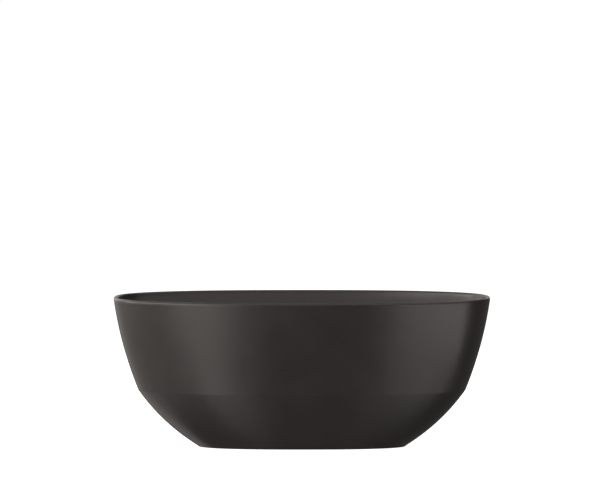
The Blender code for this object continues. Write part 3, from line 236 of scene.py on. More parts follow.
def skirt_profile(which, heights):
    """Points down the wall, with the crease rounded by a short parabola."""
    points = []
    for height in heights:
        if abs(height - CREASE_HEIGHT) < CREASE_ROUND:
            above, below = CREASE_HEIGHT + CREASE_ROUND, CREASE_HEIGHT - CREASE_ROUND
            share = (above - height) / (2 * CREASE_ROUND)
            half = (skirt_half(which, above) * (1 - share) ** 2
                    + skirt_half(which, CREASE_HEIGHT) * 2 * share * (1 - share)
                    + skirt_half(which, below) * share ** 2)
            points.append((half, height))
        else:
            points.append((skirt_half(which, height), height))
    return points


def skirt_heights(top):
    upper = spaced(top, CREASE_HEIGHT + CREASE_ROUND, 24)
    crease = spaced(CREASE_HEIGHT + CREASE_ROUND, CREASE_HEIGHT - CREASE_ROUND, 6)[1:-1]
    lower = spaced(CREASE_HEIGHT - CREASE_ROUND, SKIRT_FOOT + HEM_ROUND, 20)
    return upper + crease + lower


print("crease at", CREASE_HEIGHT, "m, foot at", round(SKIRT_FOOT, 3), "m")

# %% [markdown]
# The skirt has a real thickness and a hem turned in at its foot, which stiffens the free edge. A
# solidify modifier would give an even thickness too, but not the hem, so the rings go down the
# outer face, round the hem and up the inner face.

# %% Build the skirt
def build_skirt():
    heights = skirt_heights(LIP_BOTTOM - GAP)
    outer = [skirt_profile(which, heights) for which in (0, 1)]
    inner = [shifted(profile, -SKIRT_THICKNESS) for profile in outer]
    for wall, face in zip(outer, inner):
        face[0] = Vector((wall[0][0] - SKIRT_THICKNESS, wall[0][1]))
    rings = [oval(end, side) for end, side in zip(*outer)]
    feet = [wall[-1][0] for wall in outer]
    for turn in spaced(0, pi / 2, 5)[1:]:
        inset = HEM_ROUND * (1 - cos(turn)) + HEM_ROUND * HEM_LEAN * sin(turn)
        height = SKIRT_FOOT + HEM_ROUND * (1 - sin(turn))
        rings.append(oval(*[(foot - inset, height) for foot in feet]))
    for height in (SKIRT_FOOT, SKIRT_FOOT + SKIRT_THICKNESS):
        rings.append(oval(*[(foot - HEM_WIDTH, height) for foot in feet]))
    rings += [oval(end, side) for end, side in zip(inner[0][-3::-1], inner[1][-3::-1])]
    return as_object("skirt", skin(rings, closed=True))


skirt = build_skirt()
print("skirt:", len(skirt.data.polygons), "faces")

# %% [markdown]
# The bath shell is the wet side: a rolled rim, two long sides that slope by about 20 degrees, two
# backrests that slope more, and a floor that falls a few millimetres to the drain. Its wall is a
# long arc and its corner a shorter one, so both profiles come from the same formula.

# %% The bath shell's profile
SHELL_THICKNESS = 0.006
TOP_SLOPES = (radians(16), radians(22))
FOOT_SLOPES = (radians(38), radians(24))
FILLETS = (0.140, 0.090)
DRAIN_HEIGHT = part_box("waste_flange_gasket")[0].z - GAP
RECESS_DEPTH = 0.003
RECESS_RADIUS = 0.046
FLOOR_FALL = 0.005
DRAIN_HOLE = 0.026
EASE_SHARE = 0.35
FLOOR_EDGE = DRAIN_HEIGHT + RECESS_DEPTH + FLOOR_FALL
FLOOR_UNDERSIDE = DRAIN_HEIGHT - SHELL_THICKNESS


def basin_profile(which, wall_steps=26, fillet_steps=16):
    """The wet wall from the rim to the floor's edge."""
    half = (HALF_LENGTH, HALF_WIDTH)[which] - RIM_THICKNESS
    top, foot, fillet = TOP_SLOPES[which], FOOT_SLOPES[which], FILLETS[which]
    drop = RIM_LINE - FLOOR_EDGE - fillet * (1 - sin(foot))
    radius = drop / (sin(foot) - sin(top))
    points = []
    for slope in spaced(top, foot, wall_steps):
        points.append(Vector((half - radius * (cos(top) - cos(slope)),
                              RIM_LINE - radius * (sin(slope) - sin(top)))))
    corner = points[-1]
    for slope in spaced(foot, pi / 2, fillet_steps)[1:]:
        step = Vector((cos(foot) - cos(slope), sin(slope) - sin(foot)))
        points.append(corner - step * fillet)
    return points


def soft_start(points, bow_steps=5):
    """The first points of the wall, eased from the rim's upright inner side."""
    eased = [point.copy() for point in points]
    ease_to = points[bow_steps]
    start = points[0]
    for step in range(1, bow_steps):
        share = step / bow_steps
        upright = Vector((start.x, start.y + (ease_to.y - start.y) * share))
        blend = (1 - share) ** 2 * EASE_SHARE
        eased[step] = points[step].lerp(upright, blend)
    return eased


print("the floor falls from", round(FLOOR_EDGE, 4), "to", round(DRAIN_HEIGHT, 4), "m")

# %% [markdown]
# The shell is one closed skin: up over the rolled rim, down the wet wall, across the floor and
# its shallow recess, through the drain hole, and back on the dry side. Over the floor, the rings
# change step by step from the tub's plan to the round recess.

# %% Build the bath shell
FLOOR_SHARES = (0.15, 0.3, 0.45, 0.6, 0.75, 0.9)


def build_bath_shell():
    basins = [soft_start(basin_profile(which)) for which in (0, 1)]
    rings = [oval(*[(skirt_half(which, LIP_BOTTOM), LIP_BOTTOM) for which in (0, 1)])]
    for turn in spaced(0, pi, 18)[:-1]:
        inset = RIM_RADIUS * (1 - cos(turn))
        height = RIM_LINE + RIM_RADIUS * sin(turn)
        rings.append(oval((HALF_LENGTH - inset, height), (HALF_WIDTH - inset, height)))
    rings += [oval(end, side) for end, side in zip(*basins)]
    edges = [basin[-1].x for basin in basins]
    recess_top = DRAIN_HEIGHT + RECESS_DEPTH
    for share in FLOOR_SHARES:
        height = FLOOR_EDGE + (recess_top - FLOOR_EDGE) * share
        sizes = [edge + (RECESS_RADIUS - edge) * share for edge in edges]
        exponent = PLAN_EXPONENT + (2 - PLAN_EXPONENT) * share
        rings.append(oval(*[(size, height) for size in sizes], exponent=exponent))
    lip = RECESS_DEPTH / 2
    drain_steps = [(RECESS_RADIUS, recess_top)]
    for turn in spaced(0, pi / 2, 4)[1:]:
        drain_steps.append((RECESS_RADIUS - lip * sin(turn), recess_top - lip * (1 - cos(turn))))
    for turn in spaced(0, pi / 2, 4)[1:]:
        drain_steps.append((RECESS_RADIUS - 2 * lip + lip * cos(turn),
                            DRAIN_HEIGHT + lip * (1 - sin(turn))))
    drain_steps += [(DRAIN_HOLE, DRAIN_HEIGHT), (DRAIN_HOLE, FLOOR_UNDERSIDE)]
    rings += [oval(step, step, exponent=2) for step in drain_steps]
    rings.append(oval((edges[0], FLOOR_UNDERSIDE), (edges[1], FLOOR_UNDERSIDE)))
    dry = [shifted(basin, SHELL_THICKNESS) for basin in basins]
    rings += [oval(end, side) for end, side in zip(dry[0][-2:0:-1], dry[1][-2:0:-1])]
    channel_top = RIM_LINE - RIM_RADIUS / 2
    lip_inner = [skirt_half(which, LIP_BOTTOM) - SKIRT_THICKNESS for which in (0, 1)]
    rings.append(oval(*[(wall[0].x, channel_top) for wall in dry]))
    rings.append(oval(*[(size, channel_top) for size in lip_inner]))
    rings.append(oval(*[(size, LIP_BOTTOM) for size in lip_inner]))
    return as_object("bath_shell_wet", skin(rings, closed=True))


bath_shell = build_bath_shell()
print("bath shell:", len(bath_shell.data.polygons), "faces")

# %% [markdown]
# Every finish is one shader with its plain values set on it, and noise in the piece's own metres.
# An image could be wrapped round a piece too, but it would need a seam. Noise has none, and keeps
# its size on every piece.

# %% A shader and its noise
def new_finish(name, color, roughness, metallic=0.0, specular=0.5):
    """A shader with its plain values set, and a noise vector in metres to build on."""
    finish = bpy.data.materials.new(name)
    finish.use_nodes = True
    tree = finish.node_tree
    shader = tree.nodes["Principled BSDF"]
    shader.inputs["Base Color"].default_value = (*color, 1.0)
    shader.inputs["Roughness"].default_value = roughness
    shader.inputs["Metallic"].default_value = metallic
    shader.inputs["Specular IOR Level"].default_value = specular
    place = tree.nodes.new("ShaderNodeTexCoord").outputs["Object"]
    return finish, tree, shader, place


def noise(tree, place, scale, detail=3.0, roughness=0.5, stretch=(1, 1, 1)):
    """Noise at so many cycles a metre. stretch squeezes it along each axis, for grain."""
    mapping = tree.nodes.new("ShaderNodeMapping")
    mapping.inputs["Scale"].default_value = stretch
    tree.links.new(place, mapping.inputs["Vector"])
    texture = tree.nodes.new("ShaderNodeTexNoise")
    texture.inputs["Scale"].default_value = scale
    texture.inputs["Detail"].default_value = detail
    texture.inputs["Roughness"].default_value = roughness
    tree.links.new(mapping.outputs["Vector"], texture.inputs["Vector"])
    return texture.outputs["Fac"]


print("helpers:", new_finish.__name__, "and", noise.__name__)

# %% [markdown]
# Noise can move a value, a tint or the surface itself. Each of those is a small helper, so that a
# finish reads as a short list of what varies on it.

# %% Values, tints and relief
def spread(tree, value, low, high, start=0.3, end=0.7):
    """A 0-to-1 value laid out between low and high."""
    remap = tree.nodes.new("ShaderNodeMapRange")
    remap.inputs["From Min"].default_value = start
    remap.inputs["From Max"].default_value = end
    remap.inputs["To Min"].default_value = low
    remap.inputs["To Max"].default_value = high
    tree.links.new(value, remap.inputs["Value"])
    return remap.outputs["Result"]


def add_values(tree, first, second):
    add = tree.nodes.new("ShaderNodeMath")
    add.operation = "ADD"
    tree.links.new(first, add.inputs[0])
    tree.links.new(second, add.inputs[1])
    return add.outputs["Value"]


def tint(tree, shader, value, dark, light):
    """Base colour that wanders between two close tints."""
    mix = tree.nodes.new("ShaderNodeMix")
    mix.data_type = "RGBA"
    mix.inputs["A"].default_value = (*dark, 1.0)
    mix.inputs["B"].default_value = (*light, 1.0)
    tree.links.new(value, mix.inputs["Factor"])
    tree.links.new(mix.outputs["Result"], shader.inputs["Base Color"])


def bump(tree, shader, height, depth, before=None):
    """Surface relief: depth is the height of the tallest grain, in metres."""
    relief = tree.nodes.new("ShaderNodeBump")
    relief.inputs["Strength"].default_value = 1.0
    relief.inputs["Distance"].default_value = depth
    tree.links.new(height, relief.inputs["Height"])
    if before is not None:
        tree.links.new(before, relief.inputs["Normal"])
    tree.links.new(relief.outputs["Normal"], shader.inputs["Normal"])
    return relief.outputs["Normal"]


print("helpers:", [helper.__name__ for helper in (spread, add_values, tint, bump)])

# %% [markdown]
# Satin acrylic is a coloured sheet with a very fine matt grain in its surface, so lights show in
# it as broad soft bands. Noise moves the roughness a little from place to place, as rubbing and
# cleaning do. One bump gives the slow waves of a formed sheet, and a finer one the grain. A clear
# coat would look wet, so there is none.

# %% The satin acrylic finish
ACRYLIC_DARK = (0.0150, 0.0138, 0.0130)
ACRYLIC_LIGHT = (0.0180, 0.0166, 0.0156)
ACRYLIC_ROUGHNESS = 0.30
ROUGHNESS_WANDER = 0.015
CLOUDING, RUB = 7, 60
SHEET_WAVES, WAVE_DEPTH = 4, 0.00025
MATT_GRAIN, MATT_DEPTH = 900, 0.000012


def satin_acrylic():
    finish, tree, shader, place = new_finish("satin_graphite_acrylic", ACRYLIC_DARK, ACRYLIC_ROUGHNESS)
    clouds = noise(tree, place, CLOUDING, detail=4)
    tint(tree, shader, spread(tree, clouds, 0, 1), ACRYLIC_DARK, ACRYLIC_LIGHT)
    rubbed = spread(tree, noise(tree, place, RUB, detail=5), -ROUGHNESS_WANDER, ROUGHNESS_WANDER)
    base = spread(tree, clouds, ACRYLIC_ROUGHNESS - ROUGHNESS_WANDER,
                  ACRYLIC_ROUGHNESS + ROUGHNESS_WANDER)
    tree.links.new(add_values(tree, base, rubbed), shader.inputs["Roughness"])
    waves = bump(tree, shader, noise(tree, place, SHEET_WAVES, detail=1), WAVE_DEPTH)
    bump(tree, shader, noise(tree, place, MATT_GRAIN, detail=2), MATT_DEPTH, before=waves)
    return finish


acrylic = satin_acrylic()
stand_in(skirt, "outer_skirt", acrylic)
stand_in(bath_shell, "bath_shell", acrylic)
print("finish:", acrylic.name, "roughness", ACRYLIC_ROUGHNESS)

# %% [markdown]
# Most of the hidden hardware is turned, moulded or pressed. A turned piece is a profile spun round
# its axis. A screw modifier could spin it too, but rings of points keep every size in view. No
# real edge is sharp, so the helper softens each corner of the profile before it spins it.

# %% Turned pieces
FINE_SIDES = 96
SMALL_SIDES = 48
SMALL_EDGE, FINE_EDGE = 0.0006, 0.0004
ON_AXIS = 1e-9
SHORTEST_CORNER = 0.4


def rounded(profile, radius, steps=4):
    """The profile with its corners softened, except those on the axis."""
    points = [Vector(point) for point in profile]
    soft = []
    for step, point in enumerate(points):
        if abs(point.x) < ON_AXIS:
            soft.append(point)
            continue
        before = points[step - 1]
        after = points[(step + 1) % len(points)]
        reach = min(radius, SHORTEST_CORNER * (before - point).length,
                    SHORTEST_CORNER * (after - point).length)
        start = point + (before - point).normalized() * reach
        end = point + (after - point).normalized() * reach
        for share in spaced(0, 1, steps):
            soft.append(start * (1 - share) ** 2 + point * 2 * share * (1 - share) + end * share ** 2)
    return soft


def lathe(profile, radius=0.0005, sides=FINE_SIDES):
    """A turned solid about Z, with soft corners."""
    turns = [2 * pi * step / sides for step in range(sides)]
    rings = []
    for point in rounded(profile, radius):
        if abs(point.x) < ON_AXIS:
            rings.append([(0, 0, point.y)])
        else:
            rings.append([(point.x * cos(turn), point.x * sin(turn), point.y) for turn in turns])
    return skin(rings, closed=profile[0][0] > 0)


def tube(inner, outer, low, high):
    """The profile of a ring or a pipe."""
    return [(inner, low), (outer, low), (outer, high), (inner, high)]


def rod(radius, low, high):
    """The profile of a pin, or of a hole to cut."""
    return [(0, low), (radius, low), (radius, high), (0, high)]


print("turned pieces have", FINE_SIDES, "sides")

# %% [markdown]
# Nuts, threads and ribbed couplings aren't round: their radius changes as one goes round the axis.
# Each shape below is a rule for that radius, and one helper turns any such rule into a solid. A
# thread is a groove that climbs by one pitch for each turn.

# %% Hexagons, threads and ribs
NUT_FACE_SHARE = 0.97


def shaped(levels, reach, bore, sides):
    """A solid whose outer radius is reach(turn, height), with a plain bore, or none at 0."""
    turns = [2 * pi * step / sides for step in range(sides)]
    rings = [[(reach(turn, z) * cos(turn), reach(turn, z) * sin(turn), z) for turn in turns]
             for z in levels]
    if bore:
        ends = (levels[-1], levels[0])
        rings += [[(bore * cos(turn), bore * sin(turn), z) for turn in turns] for z in ends]
    return skin(rings, closed=bore > 0)


def hexagon(corner, low, high, cone=radians(30)):
    """The radius of a hexagon bar whose two ends are turned to a cone, as nuts are."""
    flat = corner * cos(pi / 6)

    def reach(turn, height):
        side = flat / cos(turn % (pi / 3) - pi / 6)
        from_end = min(height - low, high - height)
        return min(side, flat * NUT_FACE_SHARE + from_end / tan(cone))
    return reach


def thread(radius, pitch, depth):
    """The radius of a screw thread: a groove that climbs one pitch a turn."""
    def reach(turn, height):
        phase = (height / pitch - turn / (2 * pi)) % 1.0
        return radius - depth * abs(2 * phase - 1)
    return reach


def ribbed(radius, ribs, depth, low, high, collar):
    """The radius of a moulded coupling nut: rounded ribs between two plain collars."""
    def reach(turn, height):
        if height < low + collar or height > high - collar:
            return radius
        return radius - depth * (0.5 + 0.5 * cos(ribs * turn)) ** 2
    return reach


print("shapes by rule:", [rule.__name__ for rule in (hexagon, thread, ribbed)])

# %% [markdown]
# Pipes and the cable follow a route of points. A curve with a bevel would do the same, but a mesh
# made from rings has an inside as well as an outside. The rings are carried along so that they
# never twist.

# %% Pipes and cables along a route
NO_SIDE_STEP = 1e-6


def swept(route, outer, inner=0.0, sides=40):
    """A round bar, or a pipe when inner is set, along a route of points."""
    route = [Vector(point) for point in route]
    across = Vector((1, 0, 0)) if abs(route[1].x - route[0].x) < NO_SIDE_STEP else Vector((0, 1, 0))
    turns = [2 * pi * side / sides for side in range(sides)]
    outside, inside = [], []
    for step, point in enumerate(route):
        along = (route[min(step + 1, len(route) - 1)] - route[max(step - 1, 0)]).normalized()
        across = (across - along * across.dot(along)).normalized()
        upright = along.cross(across)
        spokes = [across * cos(turn) + upright * sin(turn) for turn in turns]
        outside.append([point + spoke * outer for spoke in spokes])
        inside.append([point + spoke * inner for spoke in spokes])
    return skin(outside, closed=False) if inner == 0 else skin(outside + inside[::-1], closed=True)


print("a straight pipe has", len(swept([(0, 0, 0), (0, 0, 1)], 2, 1).faces), "faces")

# %% [markdown]
# A moulding is often a turned body with bosses and ports on it, so one helper gathers solids into
# a single mesh. Holes are cut with a boolean that is applied at once, so nothing is left over.

# %% Gather and cut solids
def gathered(works):
    """Several solids in one mesh, as a moulding with its bosses."""
    whole = bmesh.new()
    for work in works:
        mesh = bpy.data.meshes.new("part")
        work.to_mesh(mesh)
        work.free()
        whole.from_mesh(mesh)
        bpy.data.meshes.remove(mesh)
    return whole


def turned_over(work, place):
    """The solid moved and turned by a matrix."""
    bmesh.ops.transform(work, matrix=place, verts=work.verts)
    return work


def bored(work, tool_work):
    """The solid with other solids cut out of it."""
    target, tool = as_object("blank", work), as_object("cutting_tool", tool_work)
    change = target.modifiers.new("cut", "BOOLEAN")
    change.object = tool
    change.solver = "EXACT"
    ready = target.evaluated_get(bpy.context.evaluated_depsgraph_get())
    mesh = bpy.data.meshes.new_from_object(ready)
    result = bmesh.new()
    result.from_mesh(mesh)
    bpy.data.meshes.remove(mesh)
    bpy.data.objects.remove(target)
    bpy.data.objects.remove(tool)
    return result


def cut(target, tool_work, place):
    """Cuts a helper solid out of a piece that is already in its place."""
    work = bmesh.new()
    work.from_mesh(target.data)
    result = bored(work, turned_over(tool_work, place))
    result.to_mesh(target.data)
    result.free()
    target.data.shade_smooth()
    target.data.set_sharp_from_angle(angle=SHARP_ANGLE)


# %% [markdown]
# Three axes carry nearly all the hardware. The knob's hinge gives the overflow's axis, which
# stands square to the long wall. The drain's axis is upright, from the wet face of its recess.
# The outlet's axis points along the tub from the end of the trap.

# %% The three axes
RUNNING_GAP = 0.0004
OVERFLOW_AXIS = Vector(joints["knob_turn"]["axis"]).normalized()
OVERFLOW_PLACE = Vector(joints["knob_turn"]["pos_m"])
overflow_turn = OVERFLOW_AXIS.to_track_quat("Z", "Y").to_matrix().to_4x4()
overflow_frame = Matrix.Translation(OVERFLOW_PLACE) @ overflow_turn
drain_frame = Matrix.Translation((0, 0, DRAIN_HEIGHT))
outlet_low, outlet_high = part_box("outlet_seal")
outlet_middle = (outlet_low + outlet_high) / 2
outlet_frame = (Matrix.Translation((outlet_low.x - GAP, 0, outlet_middle.z))
                @ Matrix.Rotation(pi / 2, 4, "Y"))


def add_piece(node, work, finish, place=None):
    """A fine piece in its node's place."""
    return stand_in(as_object("fine_" + node, work, place), node, finish)


print("overflow slope", round(degrees(asin(OVERFLOW_AXIS.z)), 1), "degrees")
print("outlet height", round(outlet_middle.z, 4))

# %% [markdown]
# Each hidden material gets its own small recipe: two close tints that wander, a roughness that
# varies a little, and a grain. Stretching the noise along one axis gives a grain with a
# direction, as turning, brushing and rolling leave it.

# %% A recipe for the hardware's finishes
EVEN = (1, 1, 1)
TURNED_STRETCH = (1, 1, 12)


def plain_finish(name, dark, light, roughness, metallic=0.0, scale=120, stretch=EVEN,
                 vary=0.06, grain=900, depth=0.00001):
    """Tint, roughness and grain from noise, for a small piece of one material."""
    finish, tree, shader, place = new_finish(name, dark, roughness, metallic)
    wander = noise(tree, place, scale, detail=5, stretch=stretch)
    tint(tree, shader, spread(tree, wander, 0, 1), dark, light)
    shine = spread(tree, wander, roughness - vary, roughness + vary)
    tree.links.new(shine, shader.inputs["Roughness"])
    bump(tree, shader, noise(tree, place, grain, detail=3, stretch=stretch), depth)
    return finish


print("turned pieces stretch their grain", TURNED_STRETCH[2], "times")

# %% [markdown]
# The trim is a dark satin metal, near the acrylic's own colour. Zinc plating is bluish and clouds
# in patches, hot-dipped channels are greyer and rougher still, and brass is left as it was turned.

# %% Metals
dark_metal = plain_finish("satin_dark_metal", (0.085, 0.078, 0.074), (0.115, 0.106, 0.100), 0.34,
                          metallic=1.0, scale=70, grain=1500, depth=0.000006)
zinc = plain_finish("zinc_plated_steel", (0.50, 0.51, 0.53), (0.68, 0.68, 0.67), 0.34,
                    metallic=1.0, scale=160, vary=0.10, depth=0.00002)
galvanised = plain_finish("galvanised_steel", (0.42, 0.43, 0.45), (0.60, 0.61, 0.62), 0.42,
                          metallic=1.0, scale=45, vary=0.14, grain=300, depth=0.00002)
brass = plain_finish("turned_brass", (0.60, 0.42, 0.16), (0.78, 0.58, 0.26), 0.28,
                     metallic=1.0, scale=200, stretch=TURNED_STRETCH, grain=1200)
print("metals:", [metal.name for metal in (dark_metal, zinc, galvanised, brass)])

# %% [markdown]
# Rubber is dull and slightly dusty, so it is rough with a coarse grain. The black couplings are a
# harder plastic with a fine moulded grain, and the white pipe is smoother and shinier. The
# adhesive under the rim was smeared on and is lumpy.

# %% Rubbers, plastics and adhesive
rubber = plain_finish("black_rubber", (0.012, 0.012, 0.012), (0.028, 0.027, 0.026), 0.78,
                      scale=90, grain=700, depth=0.00004)
seal = plain_finish("seal_rubber", (0.020, 0.020, 0.021), (0.035, 0.035, 0.036), 0.70, scale=140)
black_plastic = plain_finish("moulded_black_plastic", (0.025, 0.025, 0.027), (0.045, 0.045, 0.048),
                             0.42, scale=60, grain=1400, depth=0.00002)
white_plastic = plain_finish("white_pipe_plastic", (0.66, 0.66, 0.64), (0.78, 0.78, 0.76), 0.36,
                             scale=25, vary=0.05, grain=260, depth=0.00002)
sheath = plain_finish("cable_sheath", (0.030, 0.030, 0.032), (0.050, 0.050, 0.052), 0.45, scale=200)
adhesive = plain_finish("white_adhesive", (0.30, 0.30, 0.29), (0.48, 0.47, 0.45), 0.60, scale=40,
                        vary=0.1, grain=120, depth=0.0008)
print("soft and moulded finishes:", [item.name for item in (rubber, seal, black_plastic)])

# %% [markdown]
# The board is birch plywood. Noise stretched far along the board gives the face grain, and a wave
# across the thickness gives the dark and light plies that show where an edge cuts them.

# %% Plywood
BIRCH = (0.50, 0.34, 0.19)
BIRCH_DARK, BIRCH_LIGHT = (0.30, 0.18, 0.09), (0.62, 0.45, 0.27)
PLY_WAVES = 110
FACE_GRAIN = 35
GRAIN_STRETCH = (0.25, 4, 1)
GRAIN_SHARE, PLY_SHARE = 0.6, 0.4
GRAIN_DEPTH = 0.0002


def plywood_finish():
    """Birch plywood: long face grain, and plies at the edges."""
    finish, tree, shader, place = new_finish("birch_plywood", BIRCH, 0.65)
    grain = noise(tree, place, FACE_GRAIN, detail=8, roughness=0.65, stretch=GRAIN_STRETCH)
    plies = tree.nodes.new("ShaderNodeTexWave")
    plies.wave_type = "BANDS"
    plies.bands_direction = "Z"
    plies.inputs["Scale"].default_value = PLY_WAVES
    tree.links.new(place, plies.inputs["Vector"])
    layers = spread(tree, plies.outputs["Fac"], 0, PLY_SHARE, 0, 1)
    both = add_values(tree, spread(tree, grain, 0.0, GRAIN_SHARE), layers)
    tint(tree, shader, both, BIRCH_DARK, BIRCH_LIGHT)
    bump(tree, shader, grain, GRAIN_DEPTH)
    return finish


plywood = plywood_finish()
print("finishes:", len(bpy.data.materials))

# %% [markdown]
# The overflow is the one piece of trim above the water. A clamped ring lines the hole in the wall,
# and a disc stands a little in front of it, so water slips in behind the disc. Turning the disc
# pulls the cable. Its face is slightly dished, so it catches a soft ring of light.

# %% The hole and the overflow ring
HOLE_RADIUS = 0.0260
HOLE_REACH = 4 * SHELL_THICKNESS
RING_RADIUS, RING_HEIGHT = 0.0340, 0.0025
THROAT_BORE, THROAT_OUTER = 0.0190, 0.0215
TRIM_EDGE = 0.0012
OVERFLOW_GASKET = 0.0025
BODY_FACE = -SHELL_THICKNESS - 2 * GAP - OVERFLOW_GASKET
CUP_WALL = 0.0025

cut(bath_shell, lathe(rod(HOLE_RADIUS, -HOLE_REACH, HOLE_REACH)), overflow_frame)
ring_foot = BODY_FACE - CUP_WALL + GAP
ring_face = GAP + RING_HEIGHT
add_piece("overflow_flange_ring", lathe([
    (THROAT_BORE, ring_foot), (THROAT_OUTER, ring_foot), (THROAT_OUTER, GAP),
    (RING_RADIUS, GAP), (RING_RADIUS, ring_face), (THROAT_BORE, ring_face)], TRIM_EDGE),
    dark_metal, overflow_frame)
print("the ring stands", round(ring_face * 1000, 1), "mm proud of the wall")

# %% [markdown]
# The knob is a turned disc with a short hub behind it, bored for the spindle. Its dish is a
# shallow parabola that starts just inside the soft outer edge.

# %% The knob
KNOB_RADIUS, KNOB_LOW, KNOB_HIGH, KNOB_DISH = 0.0345, 0.0110, 0.0210, 0.0014
KNOB_SOCKET = 0.006
DISH_EDGE = 0.94
SPINDLE_RADIUS = 0.004
HUB_WALL, HUB_ROOM = 0.0047, 0.002

socket_top = KNOB_LOW + KNOB_SOCKET
socket = SPINDLE_RADIUS + GAP
hub = socket + HUB_WALL
dished = [(KNOB_RADIUS, KNOB_HIGH)]
for share in spaced(DISH_EDGE, 0.0, 10):
    dished.append((KNOB_RADIUS * share, KNOB_HIGH - KNOB_DISH * (1 - share ** 2)))
add_piece("overflow_knob", lathe([
    (0, socket_top), (socket, socket_top), (socket, ring_face + HUB_ROOM),
    (hub, ring_face + HUB_ROOM), (hub, KNOB_LOW), (KNOB_RADIUS, KNOB_LOW)] + dished, TRIM_EDGE),
    dark_metal, overflow_frame)
print("the knob is", 2 * KNOB_RADIUS * 1000, "mm across")

# %% [markdown]
# Behind the wall, a gasket and a moulded cup clamp against the ring. The cup's spigot takes the
# pipe, and its small boss takes the cable. A collar in the cup's floor steadies the spindle, and
# the drum on the spindle winds the cable.

# %% Overflow gasket and body
CUP_RADIUS, CUP_DEPTH = 0.0300, 0.0200
CUP_EDGE = 0.0015
NECK_BORE, NECK_OUTER, NECK_SUNK = THROAT_OUTER + RUNNING_GAP, 0.0250, 0.0005
COLLAR_WALL, COLLAR_HEIGHT = 0.0026, 0.003
PIPE_OUTER, PIPE_WALL = 0.0120, 0.0022
SPIGOT_END = 0.050
SPIGOT_SUNK, SPIGOT_LAP = 0.0005, 0.001
SPIGOT_HEIGHT = BODY_FACE - PIPE_OUTER - SPIGOT_SUNK
CABLE_SIDE = 0.0225
BOSS_RADIUS, BOSS_LENGTH = 0.0048, 0.014
GASKET_INSET = 0.001

add_piece("overflow_gasket", lathe(tube(
    HOLE_RADIUS, RING_RADIUS - GASKET_INSET, BODY_FACE + GAP, -SHELL_THICKNESS - GAP), 0.0008),
    seal, overflow_frame)
cup_low = BODY_FACE - CUP_DEPTH
cup_inside = cup_low + CUP_WALL
flange_back = BODY_FACE - CUP_WALL
cup_bore = CUP_RADIUS - CUP_WALL
collar_bore = SPINDLE_RADIUS + RUNNING_GAP
collar = collar_bore + COLLAR_WALL
collar_top = cup_inside + COLLAR_HEIGHT
cup = lathe([
    (0, cup_low), (CUP_RADIUS, cup_low), (CUP_RADIUS, flange_back), (RING_RADIUS, flange_back),
    (RING_RADIUS, BODY_FACE), (NECK_OUTER, BODY_FACE), (NECK_OUTER, -NECK_SUNK),
    (NECK_BORE, -NECK_SUNK), (NECK_BORE, flange_back), (cup_bore, flange_back - CUP_WALL),
    (cup_bore, cup_inside), (collar, cup_inside), (collar, collar_top), (collar_bore, collar_top),
    (collar_bore, cup_inside), (0, cup_inside)], CUP_EDGE)
downward = Matrix.Rotation(pi / 2, 4, "X")
spigot = lathe(tube(PIPE_OUTER - PIPE_WALL, PIPE_OUTER, cup_bore - SPIGOT_LAP, SPIGOT_END))
boss_start = sqrt((CUP_RADIUS - CUP_WALL / 2) ** 2 - CABLE_SIDE ** 2)
boss_end = boss_start + BOSS_LENGTH
boss = lathe(rod(BOSS_RADIUS, boss_start, boss_end), sides=SMALL_SIDES)
add_piece("overflow_body", gathered([
    cup, turned_over(spigot, Matrix.Translation((0, 0, SPIGOT_HEIGHT)) @ downward),
    turned_over(boss, Matrix.Translation((-CABLE_SIDE, 0, SPIGOT_HEIGHT)) @ downward)]),
    black_plastic, overflow_frame)
print("the spigot lies", round(-SPIGOT_HEIGHT * 1000, 1), "mm behind the wall's wet face")

# %% [markdown]
# The spindle stands in the collar on the cup's floor and reaches up into the knob's hub. The drum
# sits on it inside the cup: a small pulley with a groove for the cable, which turns with the knob.

# %% Spindle and drum
DRUM_WALL, DRUM_HEIGHT, DRUM_GROOVE = 0.0077, 0.004, 0.0018

spindle = lathe(rod(SPINDLE_RADIUS, cup_inside + GAP, socket_top - GAP), SMALL_EDGE)
add_piece("overflow_spindle", spindle, brass, overflow_frame)
drum_low = collar_top + GAP
drum_high = drum_low + DRUM_HEIGHT
drum = socket + DRUM_WALL
add_piece("cable_drum", lathe([
    (socket, drum_low), (drum, drum_low), (drum, drum_low + DRUM_HEIGHT / 4),
    (drum - DRUM_GROOVE, drum_low + DRUM_HEIGHT / 2), (drum, drum_high - DRUM_HEIGHT / 4),
    (drum, drum_high), (socket, drum_high)], FINE_EDGE), black_plastic, overflow_frame)
print("the drum is", round(2 * drum * 1000, 1), "mm across")

# %% [markdown]
# The waste is clamped too: a metal flange above the floor screws into the moulded body below it,
# with a gasket on each side. The plug's stem slides in a guide that three arms hold in the middle
# of the throat, so water can run past.

# %% Waste flange and its gasket
WASTE_BORE, WASTE_THROAT = 0.0215, 0.0245
THROAT_DEPTH = 0.030
WASTE_GASKET = 0.0012
WASTE_FLANGE = 0.0360
FLANGE_LOW = GAP + WASTE_GASKET + GAP
FLANGE_THICKNESS = 0.0027
FLANGE_HIGH = FLANGE_LOW + FLANGE_THICKNESS
FLANGE_EDGE = 0.0014
STEM_RADIUS = 0.003
GUIDE_BORE = STEM_RADIUS + RUNNING_GAP
GUIDE_WALL = 0.0031
GUIDE_OUTER = GUIDE_BORE + GUIDE_WALL
GUIDE_TOP, GUIDE_FOOT = -0.018, -0.024
GUIDE_ARMS = 3
ARM_HALF_WIDTH, ARM_HALF_HEIGHT = 0.00175, 0.0024
ARM_LEVEL = (GUIDE_TOP + GUIDE_FOOT) / 2
ARM_SIDES = 12
ARM_STATIONS = ((GUIDE_BORE + 0.0015, 1.0), (0.011, 0.75), (0.0145, 0.75), (WASTE_BORE + 0.001, 1.0))


